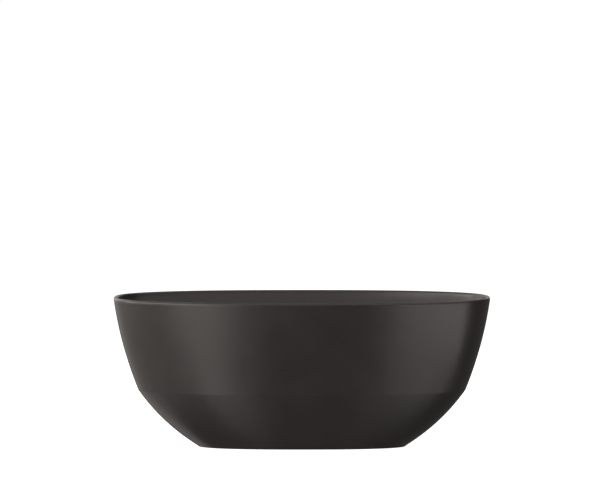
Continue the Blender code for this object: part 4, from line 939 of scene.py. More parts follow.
def guide_arm(turn):
    """One arm of the guide, slimmer in the middle, from the hub to the throat."""
    rings = []
    for along, size in ARM_STATIONS:
        ring = []
        for step in range(ARM_SIDES):
            corner = 2 * pi * (step + 0.5) / ARM_SIDES
            ring.append((along, ARM_HALF_WIDTH * size * cos(corner),
                         ARM_HALF_HEIGHT * size * sin(corner) + ARM_LEVEL))
        rings.append(ring)
    return turned_over(skin(rings, closed=False), Matrix.Rotation(turn, 4, "Z"))


throat = lathe([
    (WASTE_BORE, -THROAT_DEPTH), (WASTE_THROAT, -THROAT_DEPTH), (WASTE_THROAT, FLANGE_LOW),
    (WASTE_FLANGE, FLANGE_LOW), (WASTE_FLANGE, FLANGE_HIGH), (WASTE_BORE, FLANGE_HIGH)], FLANGE_EDGE)
guide = lathe(tube(GUIDE_BORE, GUIDE_OUTER, GUIDE_FOOT, GUIDE_TOP), SMALL_EDGE)
arms = [guide_arm(2 * pi * (arm + 0.5) / GUIDE_ARMS) for arm in range(GUIDE_ARMS)]
add_piece("waste_flange", gathered([throat, guide] + arms), dark_metal, drain_frame)
add_piece("waste_flange_gasket", lathe(tube(
    DRAIN_HOLE + GASKET_INSET, WASTE_FLANGE - GASKET_INSET, GAP, GAP + WASTE_GASKET), FINE_EDGE),
    seal, drain_frame)
print("the guide has", GUIDE_ARMS, "arms")

# %% [markdown]
# The plug is a metal cap on a brass stem, with a soft ring under it. The cap is a shallow dome, so
# water runs off it. The lever below pushes the stem up.

# %% Plug cap, seal and stem
SEAL_LOW, SEAL_HEIGHT = FLANGE_HIGH + GAP, 0.0022
SEAL_HIGH = SEAL_LOW + SEAL_HEIGHT
SEAL_RADIUS, SEAL_TAPER = 0.0270, (0.0025, 0.0006)
PLUG_LOW = SEAL_HIGH + GAP
PLUG_RADIUS, PLUG_HEIGHT, PLUG_RIM = 0.0320, 0.005, 0.0022
BOSS_DEPTH = 0.004
STEM_SUNK = 0.003
STEM_TIP = (0.0015, 0.003)
STEM_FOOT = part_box("plug_stem")[0].z - DRAIN_HEIGHT

stem_socket = STEM_RADIUS + GAP
plug_boss = stem_socket + 0.0022
stem_top = PLUG_LOW + STEM_SUNK
dome = [(PLUG_RADIUS * sin(turn), PLUG_LOW + PLUG_RIM + (PLUG_HEIGHT - PLUG_RIM) * cos(turn))
        for turn in spaced(pi / 2, 0, 14)]
add_piece("plug_cap", lathe([
    (0, stem_top), (stem_socket, stem_top), (stem_socket, PLUG_LOW - BOSS_DEPTH),
    (plug_boss, PLUG_LOW - BOSS_DEPTH), (plug_boss, PLUG_LOW), (PLUG_RADIUS, PLUG_LOW)] + dome,
    0.0004), dark_metal, drain_frame)
add_piece("plug_seal", lathe([
    (plug_boss + GAP, SEAL_LOW), (SEAL_RADIUS - SEAL_TAPER[0], SEAL_LOW),
    (SEAL_RADIUS, SEAL_LOW + SEAL_TAPER[1]), (SEAL_RADIUS, SEAL_HIGH),
    (plug_boss + GAP, SEAL_HIGH)], 0.0005), seal, drain_frame)
add_piece("plug_stem", lathe([
    (0, STEM_FOOT), (STEM_TIP[0], STEM_FOOT), (STEM_RADIUS, STEM_FOOT + STEM_TIP[1]),
    (STEM_RADIUS, stem_top - GAP), (0, stem_top - GAP)], 0.0005, sides=SMALL_SIDES), brass, drain_frame)
print("the plug stands", round((PLUG_LOW + PLUG_HEIGHT) * 1000, 1), "mm above the recess")

# %% [markdown]
# Below the floor, the moulded body takes the throat, the overflow's pipe and the cable. Its inside
# is an open chamber, so the pipe's hole is cut through the chamber's wall before the ports are put on.

# %% Waste body and its gasket
BODY_GASKET = 0.003
BODY_HIGH = -SHELL_THICKNESS - 2 * GAP - BODY_GASKET
CHAMBER, BODY_RADIUS, BODY_WALL = 0.0265, 0.0300, 0.0035
BODY_FLANGE, BODY_FLANGE_HEIGHT = 0.0370, 0.004
BODY_EDGE = 0.0012
CHAMBER_DEPTH, SPIGOT_DEPTH = 0.0533, 0.0693
TRAP_BORE, TRAP_OUTER = 0.0175, 0.0200
PORT_DEPTH, PORT_END = 0.0378, 0.0520
LEVER_PLACE = Vector(joints["lever_turn"]["pos_m"])
LEVER_DEPTH = DRAIN_HEIGHT - LEVER_PLACE.z
LEVER_REACH = -LEVER_PLACE.x
CABLE_RADIUS = 0.003
CABLE_PORT, CABLE_PORT_LENGTH, CABLE_PORT_BORE = 0.006, 0.016, 0.008
CABLE_PORT_START = CHAMBER + BODY_WALL / 2
CABLE_PORT_END = CABLE_PORT_START + CABLE_PORT_LENGTH

port_place = Matrix.Translation((0, 0, -PORT_DEPTH)) @ Matrix.Rotation(-pi / 2, 4, "X")
cable_place = Matrix.Translation((0, 0, -LEVER_DEPTH)) @ Matrix.Rotation(-pi / 2, 4, "Y")
port_bore = PIPE_OUTER - PIPE_WALL
body_socket = WASTE_THROAT + RUNNING_GAP
flange_foot = BODY_HIGH - BODY_FLANGE_HEIGHT
chamber = lathe([
    (body_socket, BODY_HIGH), (body_socket, -THROAT_DEPTH - GAP),
    (CHAMBER, -THROAT_DEPTH - BODY_WALL * 2 / 3), (CHAMBER, -CHAMBER_DEPTH + BODY_WALL),
    (TRAP_BORE, -CHAMBER_DEPTH), (TRAP_BORE, -SPIGOT_DEPTH), (TRAP_OUTER, -SPIGOT_DEPTH),
    (TRAP_OUTER, -CHAMBER_DEPTH - BODY_WALL), (BODY_RADIUS, -CHAMBER_DEPTH + BODY_WALL / 2),
    (BODY_RADIUS, flange_foot), (BODY_FLANGE, flange_foot), (BODY_FLANGE, BODY_HIGH)], BODY_EDGE)
port_hole = lathe(rod(port_bore, CHAMBER / 2, BODY_RADIUS + BODY_WALL))
chamber = bored(chamber, turned_over(port_hole, port_place))
overflow_port = lathe(tube(port_bore, PIPE_OUTER, CHAMBER + BODY_WALL / 4, PORT_END), SMALL_EDGE)
bore_foot = CABLE_PORT_END - CABLE_PORT_BORE
cable_port = lathe([
    (0, CABLE_PORT_START), (CABLE_PORT, CABLE_PORT_START), (CABLE_PORT, CABLE_PORT_END),
    (CABLE_RADIUS + GAP, CABLE_PORT_END), (CABLE_RADIUS + GAP, bore_foot), (0, bore_foot)],
    SMALL_EDGE, sides=SMALL_SIDES)
add_piece("waste_body", gathered([chamber, turned_over(overflow_port, port_place),
                                  turned_over(cable_port, cable_place)]), black_plastic, drain_frame)
add_piece("waste_body_gasket", lathe(tube(
    DRAIN_HOLE + GASKET_INSET, BODY_FLANGE - GASKET_INSET, BODY_HIGH + GAP, -SHELL_THICKNESS - GAP),
    SMALL_EDGE), seal, drain_frame)
print("the body reaches", round(SPIGOT_DEPTH * 1000, 1), "mm below the drain")

# %% [markdown]
# The lever turns on a pin across the body, and its rounded tip stays under the stem. It is cut
# from one outline, drawn in a little at both faces so that its edges are soft.

# %% Lever and pin
LEVER_HUB, LEVER_TIP = 0.0031, 0.0018
LEVER_HALF = 0.0025
LEVER_EDGE = 0.0003
BAR_TOP_SHARE = 0.75
PIN_RADIUS, PIN_EDGE = 0.0015, 0.0004


def lever_outline(inset):
    """The lever seen from the side, level, drawn in by inset: a hub, a bar and a rounded tip."""
    outline = []
    for turn in spaced(pi / 2, 3 * pi / 2, 16):
        outline.append(((LEVER_HUB - inset) * cos(turn), (LEVER_HUB - inset) * sin(turn)))
    for turn in spaced(-pi / 2, pi / 2, 12):
        outline.append((LEVER_REACH + (LEVER_TIP - inset) * cos(turn), (LEVER_TIP - inset) * sin(turn)))
    bar_top = LEVER_TIP * BAR_TOP_SHARE - inset
    return outline + [(LEVER_REACH - 2 * LEVER_TIP, bar_top), (2 * LEVER_HUB, bar_top)]


lean = asin(joints["plug_lift"]["range_m"][1] / 2 / LEVER_REACH)
lever_faces = [(-LEVER_HALF, LEVER_EDGE), (-LEVER_HALF + LEVER_EDGE, 0),
               (LEVER_HALF - LEVER_EDGE, 0), (LEVER_HALF, LEVER_EDGE)]
lever = add_piece("lift_lever", skin([[(x, y, z) for x, z in lever_outline(inset)]
                                      for y, inset in lever_faces], closed=False), black_plastic,
                  Matrix.Translation(LEVER_PLACE) @ Matrix.Rotation(lean, 4, "Y"))
pin_place = Matrix.Translation(LEVER_PLACE) @ Matrix.Rotation(pi / 2, 4, "X")
cut(lever, lathe(rod(PIN_RADIUS + GAP, -2 * LEVER_HALF, 2 * LEVER_HALF), sides=SMALL_SIDES), pin_place)
pin_half = sqrt((BODY_RADIUS - BODY_WALL / 2) ** 2 - LEVER_REACH ** 2)
add_piece("lever_pin", lathe(rod(PIN_RADIUS, -pin_half, pin_half), PIN_EDGE, sides=SMALL_SIDES),
          zinc, pin_place)
print("lever leans", round(degrees(lean), 1), "degrees when the plug is shut")

# %% [markdown]
# The tub stands on four threaded studs in two steel channels, which are screwed up into a plywood
# board bonded under the floor. The board has a round cut-out for the waste and a pilot hole for
# each screw.

# %% Board
RAIL_LOW, RAIL_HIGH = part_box("cross_rail_right")
RAIL_MIDDLE = (RAIL_LOW.x + RAIL_HIGH.x) / 2
RAIL_HALF_WIDTH = (RAIL_HIGH.x - RAIL_LOW.x) / 2
RAIL_SHEET = 0.0025
BOARD_LOW, BOARD_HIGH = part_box("base_board")
BOARD_CORNER = 0.020
BOARD_EDGE = 0.0006
BOARD_CUTOUT = 0.064
BOARD_CLEAR = 0.01
SCREW_RADIUS, SCREW_LENGTH = 0.002, 0.014
SCREW_TOP = RAIL_HIGH.z - RAIL_SHEET + SCREW_LENGTH
SCREW_PLACES = (-0.080, -0.035, 0.035, 0.080)
PILOT_SIDES = 32


def board_ring(inset, height):
    """The board's outline with its corners rounded."""
    ring = []
    for x_side, y_side, quarter in ((1, 1, 0), (-1, 1, 1), (-1, -1, 2), (1, -1, 3)):
        for turn in spaced(quarter * pi / 2, (quarter + 1) * pi / 2, 10):
            ring.append((x_side * (BOARD_HIGH.x - BOARD_CORNER) + (BOARD_CORNER - inset) * cos(turn),
                         y_side * (BOARD_HIGH.y - BOARD_CORNER) + (BOARD_CORNER - inset) * sin(turn),
                         height))
    return ring


board = add_piece("base_board", skin([
    board_ring(BOARD_EDGE, BOARD_LOW.z), board_ring(0, BOARD_LOW.z + BOARD_EDGE),
    board_ring(0, BOARD_HIGH.z - BOARD_EDGE), board_ring(BOARD_EDGE, BOARD_HIGH.z)], closed=False),
    plywood)
cutout = rod(BOARD_CUTOUT, BOARD_LOW.z - BOARD_CLEAR, BOARD_HIGH.z + BOARD_CLEAR)
cut(board, lathe(cutout), Matrix())
pilot = rod(SCREW_RADIUS + GAP, BOARD_LOW.z - BOARD_CLEAR, SCREW_TOP)
pilots = [turned_over(lathe(pilot, sides=PILOT_SIDES),
                      Matrix.Translation((side * RAIL_MIDDLE, place, 0)))
          for side in (-1, 1) for place in SCREW_PLACES]
cut(board, gathered(pilots), Matrix())
print("board with", len(SCREW_PLACES) * 2, "pilot holes")

# %% [markdown]
# Each rail is a folded channel, so the corners of its section are soft. The holes for screws and
# studs are punched through its web.

# %% Rails
STUD_RADIUS = 0.006
FOOT_SIDE = 0.115
FOLD = 0.0024


def channel_section():
    """The channel's section, open side down, with the soft corners of folded sheet."""
    half, low = RAIL_HALF_WIDTH, RAIL_LOW.z - RAIL_HIGH.z
    inner = half - RAIL_SHEET
    points = [(half, low), (inner, low), (inner, -RAIL_SHEET), (-inner, -RAIL_SHEET),
              (-inner, low), (-half, low), (-half, 0), (half, 0)]
    return rounded(points, FOLD)


def rail_holes():
    """The tools that punch the web: small for the screws, large for the studs."""
    holes = []
    for places, radius, sides in ((SCREW_PLACES, SCREW_RADIUS + GAP, PILOT_SIDES),
                                  ((-FOOT_SIDE, FOOT_SIDE), STUD_RADIUS + RUNNING_GAP, SMALL_SIDES)):
        for y in places:
            hole = lathe(rod(radius, -2 * RAIL_SHEET, RAIL_SHEET), sides=sides)
            holes.append(turned_over(hole, Matrix.Translation((0, y, 0))))
    return gathered(holes)


for name, side in (("left", -1), ("right", 1)):
    rail_place = Matrix.Translation((side * RAIL_MIDDLE, 0, RAIL_HIGH.z))
    ends = [[(point.x, y, point.y) for point in channel_section()] for y in (RAIL_LOW.y, RAIL_HIGH.y)]
    rail = add_piece("cross_rail_" + name, skin(ends, closed=False), galvanised, rail_place)
    cut(rail, rail_holes(), rail_place)
print("rails", round(2 * RAIL_HIGH.y, 3), "m long")

# %% [markdown]
# The rails are held by pan-head wood screws. The thread is coarse and runs out at the tip, and a
# cross recess in the head takes the driver.

# %% Screws
HEAD_RADIUS, HEAD_HEIGHT, HEAD_ROUND = 0.0042, 0.0025, 0.0012
SCREW_PITCH, SCREW_DEPTH = 0.0014, 0.0006
SHANK_FOOT, SHANK_CORE = 0.0002, 0.0014
TAPER_LENGTH = 0.003
RECESS_LOW, RECESS_HIGH = -0.0030, -0.0008
RECESS_CORE, RECESS_REACH = 0.0004, 0.0015
WING_WIDTH, WING_TAPER, WING_SHARPNESS = 0.5625, 156.25, 8


def wood_screw():
    """A pan head and a shank with a coarse thread."""
    head = lathe([(0, -HEAD_HEIGHT), (HEAD_RADIUS - HEAD_ROUND, -HEAD_HEIGHT),
                  (HEAD_RADIUS, HEAD_ROUND - HEAD_HEIGHT), (HEAD_RADIUS, 0), (SHANK_CORE, 0),
                  (SHANK_CORE, 3 * SHANK_FOOT), (0, 3 * SHANK_FOOT)], SMALL_EDGE, sides=SMALL_SIDES)
    full = thread(SCREW_RADIUS, SCREW_PITCH, SCREW_DEPTH)

    def crest(turn, height):
        taper = min(1.0, (SCREW_LENGTH - height) / TAPER_LENGTH)
        return max(SHANK_FOOT, full(turn, height) * taper)
    return gathered([head, shaped(spaced(SHANK_FOOT, SCREW_LENGTH - SHANK_FOOT, 60), crest, 0, 24)])


def cross_recess():
    """The driver's shape: four wings that widen downwards, out of the head."""
    def wings(turn, height):
        wide = WING_WIDTH - WING_TAPER * height
        return RECESS_CORE + RECESS_REACH * abs(cos(2 * turn)) ** WING_SHARPNESS * wide
    return shaped([RECESS_LOW, RECESS_HIGH], wings, 0, 64)


screw_places = [(side * RAIL_MIDDLE, y) for side in (-1, 1) for y in SCREW_PLACES]
for number, (x, y) in enumerate(screw_places, start=1):
    screw_place = Matrix.Translation((x, y, RAIL_HIGH.z - RAIL_SHEET - GAP))
    screw = add_piece("rail_screw_" + str(number), wood_screw(), zinc, screw_place)
    cut(screw, cross_recess(), screw_place)
print("screws:", len(screw_places))

# %% [markdown]
# Each foot is a metric stud in a rubber-soled pad, with a nut above and below the rail's web. The
# stud's thread is modelled, since the nuts run on it, and the sole has three grooves for grip.

# %% Studs, nuts and pads
M12_PITCH, M12_DEPTH = 0.00175, 0.0009
RINGS_PER_PITCH, STUD_SIDES = 5, 36
NUT_CORNER, NUT_HEIGHT = 0.011, 0.007
NUT_STEPS = (0, 0.0003, 0.0006, 0.0010)
STUD_FOOT, STUD_TOP = 0.008, FLOOR_UNDERSIDE - 0.006
PAD_RADIUS, PAD_HEIGHT, SOLE_HEIGHT = 0.022, 0.012, 0.005
PAD_CHAMFER, PAD_SHOULDER, PAD_NECK = 0.001, (0.012, 0.009), 0.011
SOLE_GROOVES = (0.007, 0.012, 0.017)
GROOVE_TOP, GROOVE_MOUTH, GROOVE_DEPTH = 0.0005, 0.0008, 0.0008


def threaded_stud():
    rings = ceil((STUD_TOP - STUD_FOOT) / M12_PITCH * RINGS_PER_PITCH)
    crest = thread(STUD_RADIUS, M12_PITCH, M12_DEPTH)
    return shaped(spaced(STUD_FOOT, STUD_TOP, rings), crest, 0, STUD_SIDES)


def hex_nut(low):
    """A nut with both faces chamfered, from the height low up."""
    high = low + NUT_HEIGHT
    levels = [low + step for step in NUT_STEPS] + [high - step for step in NUT_STEPS[::-1]]
    return shaped(levels, hexagon(NUT_CORNER, low, high), STUD_RADIUS + RUNNING_GAP, FINE_SIDES)


def pad_profile():
    """A rubber-soled pad with three grooves in its sole and a socket for the stud."""
    sole = [(0, 0)]
    for groove in SOLE_GROOVES:
        sole += [(groove - GROOVE_MOUTH, 0), (groove - GROOVE_TOP, GROOVE_DEPTH),
                 (groove + GROOVE_TOP, GROOVE_DEPTH), (groove + GROOVE_MOUTH, 0)]
    stud_socket = STUD_RADIUS + GAP
    return sole + [(PAD_RADIUS - PAD_CHAMFER, 0), (PAD_RADIUS, PAD_CHAMFER), (PAD_RADIUS, SOLE_HEIGHT),
                   PAD_SHOULDER, (PAD_NECK, PAD_HEIGHT), (stud_socket, PAD_HEIGHT),
                   (stud_socket, STUD_FOOT - GAP), (0, STUD_FOOT - GAP)]


for name, x_side, y_side in (("front_left", -1, -1), ("front_right", 1, -1),
                             ("back_left", -1, 1), ("back_right", 1, 1)):
    foot_place = Matrix.Translation((x_side * RAIL_MIDDLE, y_side * FOOT_SIDE, 0))
    add_piece("foot_stud_" + name, threaded_stud(), zinc, foot_place)
    add_piece("foot_pad_" + name, lathe(pad_profile(), SMALL_EDGE), rubber, foot_place)
    for level, low in (("upper", RAIL_HIGH.z + GAP),
                       ("lower", RAIL_HIGH.z - RAIL_SHEET - GAP - NUT_HEIGHT)):
        add_piece("lock_nut_" + name + "_" + level, hex_nut(low), zinc, foot_place)
print("feet on", M12_PITCH * 1000, "mm threads")

# %% [markdown]
# The overflow's pipe goes down behind the long wall and round under the floor to the waste, and
# the cable follows it before it bends round to the body's other side. Both routes keep an even
# distance from the basin's wall, so one function gives both.

# %% The route round the basin
SIDE_EDGE = basin_profile(1)[-1].x
SIDE_FOOT, SIDE_FILLET = FOOT_SLOPES[1], FILLETS[1]
STRAIGHT_SHARE = 0.94


def under_basin_route(start_down, side_step, level):
    """Down behind the long wall and round under the floor, ending level."""
    top = overflow_frame @ Vector((side_step, -start_down, SPIGOT_HEIGHT))
    middle = Vector((side_step, SIDE_EDGE, FLOOR_EDGE + SIDE_FILLET))
    wall_clear = SIDE_FILLET - SPIGOT_HEIGHT
    floor_clear = middle.z - level
    bend = middle + Vector((0, cos(-SIDE_FOOT), sin(-SIDE_FOOT))) * wall_clear
    points = [top.lerp(bend, share) for share in spaced(0, STRAIGHT_SHARE, 12)]
    for share in spaced(0, 1, 28):
        turn = -SIDE_FOOT + (SIDE_FOOT - pi / 2) * share
        eased = share * share * (3 - 2 * share)
        reach = wall_clear + (floor_clear - wall_clear) * eased
        points.append(middle + Vector((0, cos(turn), sin(turn))) * reach)
    return points


print("the pipe bends round a corner of", SIDE_FILLET * 1000, "mm")

# %% [markdown]
# A coupling nut joins the pipe at each end. It is a moulding with rounded ribs, for a hand's grip,
# between two plain collars.

# %% Overflow pipe and coupling nuts
RIB_DEPTH, NUT_COLLAR, NUT_BEVEL = 0.0012, 0.0022, 0.0005
COLLAR_STEPS = (0, 0.0005, 0.0020, 0.0026)
COUPLING_SIDES = 144
PIPE_SIDES = 64
PIPE_NUT, PIPE_NUT_LENGTH, PIPE_NUT_RIBS = 0.0155, 0.016, 16


def coupling_nut(radius, bore, length, ribs):
    """A ribbed nut, bevelled at both ends."""
    half = length / 2
    levels = [-half + step for step in COLLAR_STEPS] + [half - step for step in COLLAR_STEPS[::-1]]
    grip = ribbed(radius, ribs, RIB_DEPTH, -half, half, NUT_COLLAR)

    def reach(turn, height):
        return grip(turn, height) - (NUT_BEVEL if abs(height) > half - NUT_BEVEL / 2 else 0)
    return shaped(levels, reach, bore, COUPLING_SIDES)


port_level = DRAIN_HEIGHT - PORT_DEPTH
route = under_basin_route(SPIGOT_END + GAP, 0, port_level)
end = Vector((0, PORT_END + GAP, port_level))
route += [route[-1].lerp(end, share) for share in (0.5, 1.0)]
add_piece("overflow_pipe", swept(route, PIPE_OUTER, PIPE_OUTER - PIPE_WALL, PIPE_SIDES), white_plastic)
for name, near, ahead in (("top", route[0], route[1]), ("bottom", route[-1], route[-2])):
    turn = (ahead - near).normalized().to_track_quat("Z", "Y").to_matrix().to_4x4()
    nut = coupling_nut(PIPE_NUT, PIPE_OUTER + RUNNING_GAP, PIPE_NUT_LENGTH, PIPE_NUT_RIBS)
    add_piece("pipe_nut_" + name, nut, black_plastic, Matrix.Translation(near) @ turn)
print("overflow pipe:", len(route), "rings")

# %% [markdown]
# The cable leaves the cup beside the pipe and comes level under the floor. Then it swings round the
# waste body and enters its port from the far side, on a smooth line through a few chosen points.

# %% Control cable
CABLE_LEAVE = Vector((-0.008, -0.030, 0))
CABLE_SIDES = 32
CABLE_BENDS = ((-0.040, 0.075), (-0.055, 0.025), (-0.028, 0), (-0.010, 0))


def smooth_route(stops, steps=12):
    """A rounded line through the stops."""
    stops = [Vector(stop) for stop in stops]
    stops = [2 * stops[0] - stops[1]] + stops + [2 * stops[-1] - stops[-2]]
    points = []
    for before, start, end, after in zip(stops, stops[1:], stops[2:], stops[3:]):
        for share in spaced(0, 1, steps)[:-1]:
            points.append(0.5 * (2 * start + (end - before) * share
                                 + (2 * before - 5 * start + 4 * end - after) * share ** 2
                                 + (3 * start - before - 3 * end + after) * share ** 3))
    return points + [stops[-2]]


cable_level = LEVER_PLACE.z
route = under_basin_route(boss_end + GAP, -CABLE_SIDE, cable_level)
bends = [Vector((x - CABLE_PORT_END, y, cable_level)) for x, y in CABLE_BENDS]
mouth = Vector((-(CABLE_PORT_END - CABLE_PORT_BORE + GAP), 0, cable_level))
route = route[:-1] + smooth_route([route[-1], route[-1] + CABLE_LEAVE] + bends) + [mouth]
add_piece("control_cable", swept(route, CABLE_RADIUS, sides=CABLE_SIDES), sheath)
length = sum((after - before).length for before, after in zip(route, route[1:]))
print("the cable is", round(length, 3), "m long")

# %% [markdown]
# The trap keeps water in its bend, so no air comes up from the drain. It is one moulded pipe that
# turns up again and leaves level, just under the board.

# %% Trap and outlet
TRAP_BEND, TRAP_LEG, TRAP_TAIL = 0.030, 0.0231, 0.035
TRAP_SEAL, SEAL_EDGE = 0.002, 0.0003
TRAP_NUT, TRAP_NUT_LENGTH, TRAP_NUT_RIBS = 0.0265, 0.020, 20
TRAP_SIDES = 72

trap_top = DRAIN_HEIGHT - SPIGOT_DEPTH - 2 * GAP - TRAP_SEAL
centre = trap_top - TRAP_LEG
rise = outlet_middle.z - TRAP_BEND
route = [(0, 0, trap_top)]
route += [(TRAP_BEND + TRAP_BEND * cos(turn), 0, centre + TRAP_BEND * sin(turn))
          for turn in spaced(pi, 2 * pi, 32)]
route += [(3 * TRAP_BEND + TRAP_BEND * cos(turn), 0, rise + TRAP_BEND * sin(turn))
          for turn in spaced(pi, pi / 2, 16)]
route += [(3 * TRAP_BEND + TRAP_TAIL, 0, outlet_middle.z)]
add_piece("trap_body", swept(route, TRAP_OUTER, TRAP_BORE, TRAP_SIDES), white_plastic)

seal_foot = -SPIGOT_DEPTH - GAP - TRAP_SEAL
seal_tube = tube(TRAP_BORE, TRAP_OUTER, 0, TRAP_SEAL)
outlet_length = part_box("outlet_pipe")[1].x - outlet_low.x + GAP
add_piece("trap_seal", lathe(seal_tube, SEAL_EDGE), seal,
          drain_frame @ Matrix.Translation((0, 0, seal_foot)))
add_piece("outlet_seal", lathe(seal_tube, SEAL_EDGE), seal,
          outlet_frame @ Matrix.Translation((0, 0, GAP)))
outlet_tube = tube(TRAP_BORE, TRAP_OUTER, 2 * GAP + TRAP_SEAL, outlet_length)
add_piece("outlet_pipe", lathe(outlet_tube, FINE_EDGE), white_plastic, outlet_frame)
seal_middle = drain_frame @ Matrix.Translation((0, 0, seal_foot + TRAP_SEAL / 2))
for name, nut_place in (("trap_nut", seal_middle), ("outlet_nut", outlet_frame)):
    nut = coupling_nut(TRAP_NUT, TRAP_OUTER + RUNNING_GAP, TRAP_NUT_LENGTH, TRAP_NUT_RIBS)
    add_piece(name, nut, black_plastic, nut_place)
print("the trap's bend has a radius of", TRAP_BEND * 1000, "mm")

# %% [markdown]
# Under the rim, a bead of adhesive fills the joint between the two shells. Its sides follow the
# two walls, and its lower corners are rounded a little, as a bead's are when it sets.

# %% The bond under the rim
BOND_HEIGHT = 0.022
BOND_ROOM = 0.0012
BOND_FULL_SHARE = 0.9
BOND_FOOT_SHARES = (0.85, 0.5, 0.15)


def dry_half(profile, height):
    """The half size of the shell's dry side at a height."""
    for above, below in zip(profile, profile[1:]):
        if above.y >= height >= below.y:
            return below.lerp(above, (height - below.y) / (above.y - below.y)).x
    return profile[0].x


def build_bond():
    """The bead, as one ring round the tub."""
    high = LIP_BOTTOM - GAP
    low = high - BOND_HEIGHT
    sides = spaced(high, high - BOND_HEIGHT * BOND_FULL_SHARE, 4)
    dry = [shifted(soft_start(basin_profile(which)), SHELL_THICKNESS) for which in (0, 1)]

    def faces(height):
        outer = [skirt_half(which, height) - SKIRT_THICKNESS - BOND_ROOM for which in (0, 1)]
        inner = [dry_half(dry[which], height) + BOND_ROOM for which in (0, 1)]
        return outer, inner

    rings = [oval(*[(size, height) for size in faces(height)[0]]) for height in sides]
    for share in BOND_FOOT_SHARES:
        rings.append(oval(*[(inner + (outer - inner) * share, low)
                            for outer, inner in zip(*faces(low))]))
    rings += [oval(*[(size, height) for size in faces(height)[1]]) for height in sides[::-1]]
    return skin(rings, closed=True)


add_piece("rim_bond_bead", build_bond(), adhesive)

# %% [markdown]
# The studio is plain: a pale floor that runs out of sight, a white room, and a ring of soft boxes.
# What one sees on satin graphite is mostly the soft boxes, so their sides, widths and strengths
# draw the long upright bands. The lower wall leans back under the tub and looks down, so some
# boxes reach below the floor, for the light that a real white floor throws back up.

# %% Floor
FLOOR_SIZE = 60.0
PALE = (0.86, 0.86, 0.86)
PALE_ROUGHNESS = 0.6
WHITE_GLOW = 1.02


def build_floor():
    work = bmesh.new()
    bmesh.ops.create_grid(work, x_segments=12, y_segments=12, size=FLOOR_SIZE / 2)
    floor = as_object("studio_floor", work)
    finish, _, shader, _ = new_finish("pale_floor", PALE, PALE_ROUGHNESS)
    shader.inputs["Emission Color"].default_value = (1.0, 1.0, 1.0, 1.0)
    shader.inputs["Emission Strength"].default_value = WHITE_GLOW
    floor.data.materials.append(finish)
    floor.visible_glossy = False
    floor.visible_diffuse = False
    floor.visible_shadow = False
    return floor


build_floor()
print("the floor is", FLOOR_SIZE, "m wide")

# %% [markdown]
# A soft box is an area light. A wide one is made from several side by side, each turned to the
# tub, so that it bends round the tub at an even distance. Its strength is given for its surface,
# so a larger box gives more light but looks no brighter in the acrylic.

# %% A row of soft boxes
AIM = Vector((0, 0, 0.30))
BOX_DISTANCE = 5.0
WIDEST_BOX = 30
WARM_WHITE = (1.05, 0.99, 0.95)


def soft_wall(name, start, end, middle, tall, strength):
    """Soft boxes side by side, all in degrees seen from the tub.

    Start and end are azimuths from the camera's side, left negative. Middle and tall are the
    height above the level of the tub and the size of the boxes.
    """
    count = ceil((end - start) / WIDEST_BOX)
    step = (end - start) / count
    for number in range(count):
        turn, rise = radians(start + step * (number + 0.5)), radians(middle)
        data = bpy.data.lights.new(name, "AREA")
        data.shape = "RECTANGLE"
        data.size = 2 * BOX_DISTANCE * tan(radians(step / 2))
        data.size_y = 2 * BOX_DISTANCE * tan(radians(tall / 2))
        data.color = WARM_WHITE
        data.energy = strength * data.size * data.size_y * pi
        box = bpy.data.objects.new(name + "_" + str(number + 1), data)
        toward = Vector((sin(turn) * cos(rise), -cos(turn) * cos(rise), sin(rise)))
        box.location = AIM + toward * BOX_DISTANCE
        box.rotation_euler = toward.to_track_quat("Z", "Y").to_euler()
        box.visible_camera = False
        scene.collection.objects.link(box)


print("no box spans more than", WIDEST_BOX, "degrees")

# %% [markdown]
# The three strips stand left of the middle and draw the bright upright band. The left boxes and
# walls light the long reflection on that side, the front and right boxes are weaker, and a high
# ring lifts the rim and the inside.

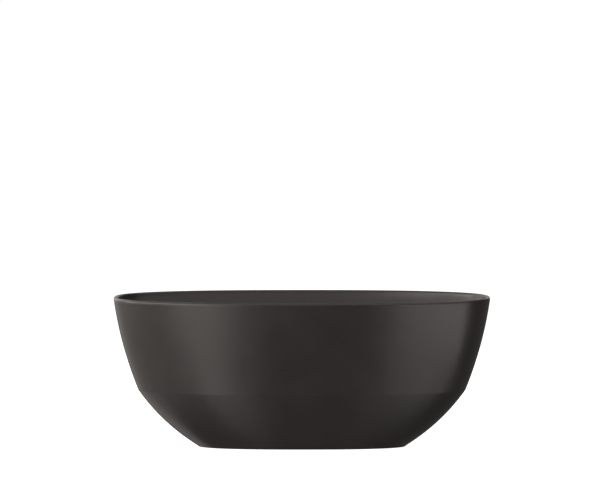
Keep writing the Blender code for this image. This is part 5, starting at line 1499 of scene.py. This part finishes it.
# %% Soft boxes round the tub
soft_wall("strip_high", -45, -15, middle=29, tall=22, strength=2.35)
soft_wall("strip_low", -45, -15, middle=-13, tall=22, strength=2.0)
soft_wall("strip_floor", -35, -20, middle=-38, tall=26, strength=1.6)
soft_wall("left_box", -105, -25, middle=8, tall=20, strength=4.0)
soft_wall("left_wall", -155, -45, middle=19, tall=42, strength=1.3)
soft_wall("left_low", -155, -45, middle=-26, tall=48, strength=0.42)
soft_wall("front_box", -5, 25, middle=29, tall=22, strength=0.9)
soft_wall("right_high", 25, 95, middle=29, tall=22, strength=0.7)
soft_wall("right_low", 25, 85, middle=-13, tall=22, strength=1.8)
soft_wall("right_floor", 25, 75, middle=-38, tall=26, strength=0.6)
soft_wall("high_ring", -165, 165, middle=56, tall=30, strength=0.47)
soft_wall("back_wall", 155, 205, middle=14, tall=28, strength=0.5)

# %% [markdown]
# The room is white where one looks past the tub, as a lit backdrop is. What it sends on to the
# tub is a weak even glow, so the bands of the soft boxes keep their contrast.

# %% The white room
ROOM_GLOW = 0.11


def white_room():
    """White behind the tub, and a weak even glow all round it."""
    world = bpy.data.worlds.new("white_room")
    world.use_nodes = True
    tree = world.node_tree
    glow = tree.nodes["Background"]
    glow.inputs["Color"].default_value = (*WARM_WHITE, 1)
    glow.inputs["Strength"].default_value = ROOM_GLOW
    backdrop = tree.nodes.new("ShaderNodeBackground")
    backdrop.inputs["Color"].default_value = (1, 1, 1, 1)
    backdrop.inputs["Strength"].default_value = WHITE_GLOW
    path = tree.nodes.new("ShaderNodeLightPath")
    mix = tree.nodes.new("ShaderNodeMixShader")
    tree.links.new(path.outputs["Is Camera Ray"], mix.inputs["Fac"])
    tree.links.new(glow.outputs["Background"], mix.inputs[1])
    tree.links.new(backdrop.outputs["Background"], mix.inputs[2])
    tree.links.new(mix.outputs["Shader"], tree.nodes["World Output"].inputs["Surface"])
    scene.world = world


white_room()
scene.view_settings.view_transform = "Standard"
scene.view_settings.look = "None"
print("view transform:", scene.view_settings.view_transform)
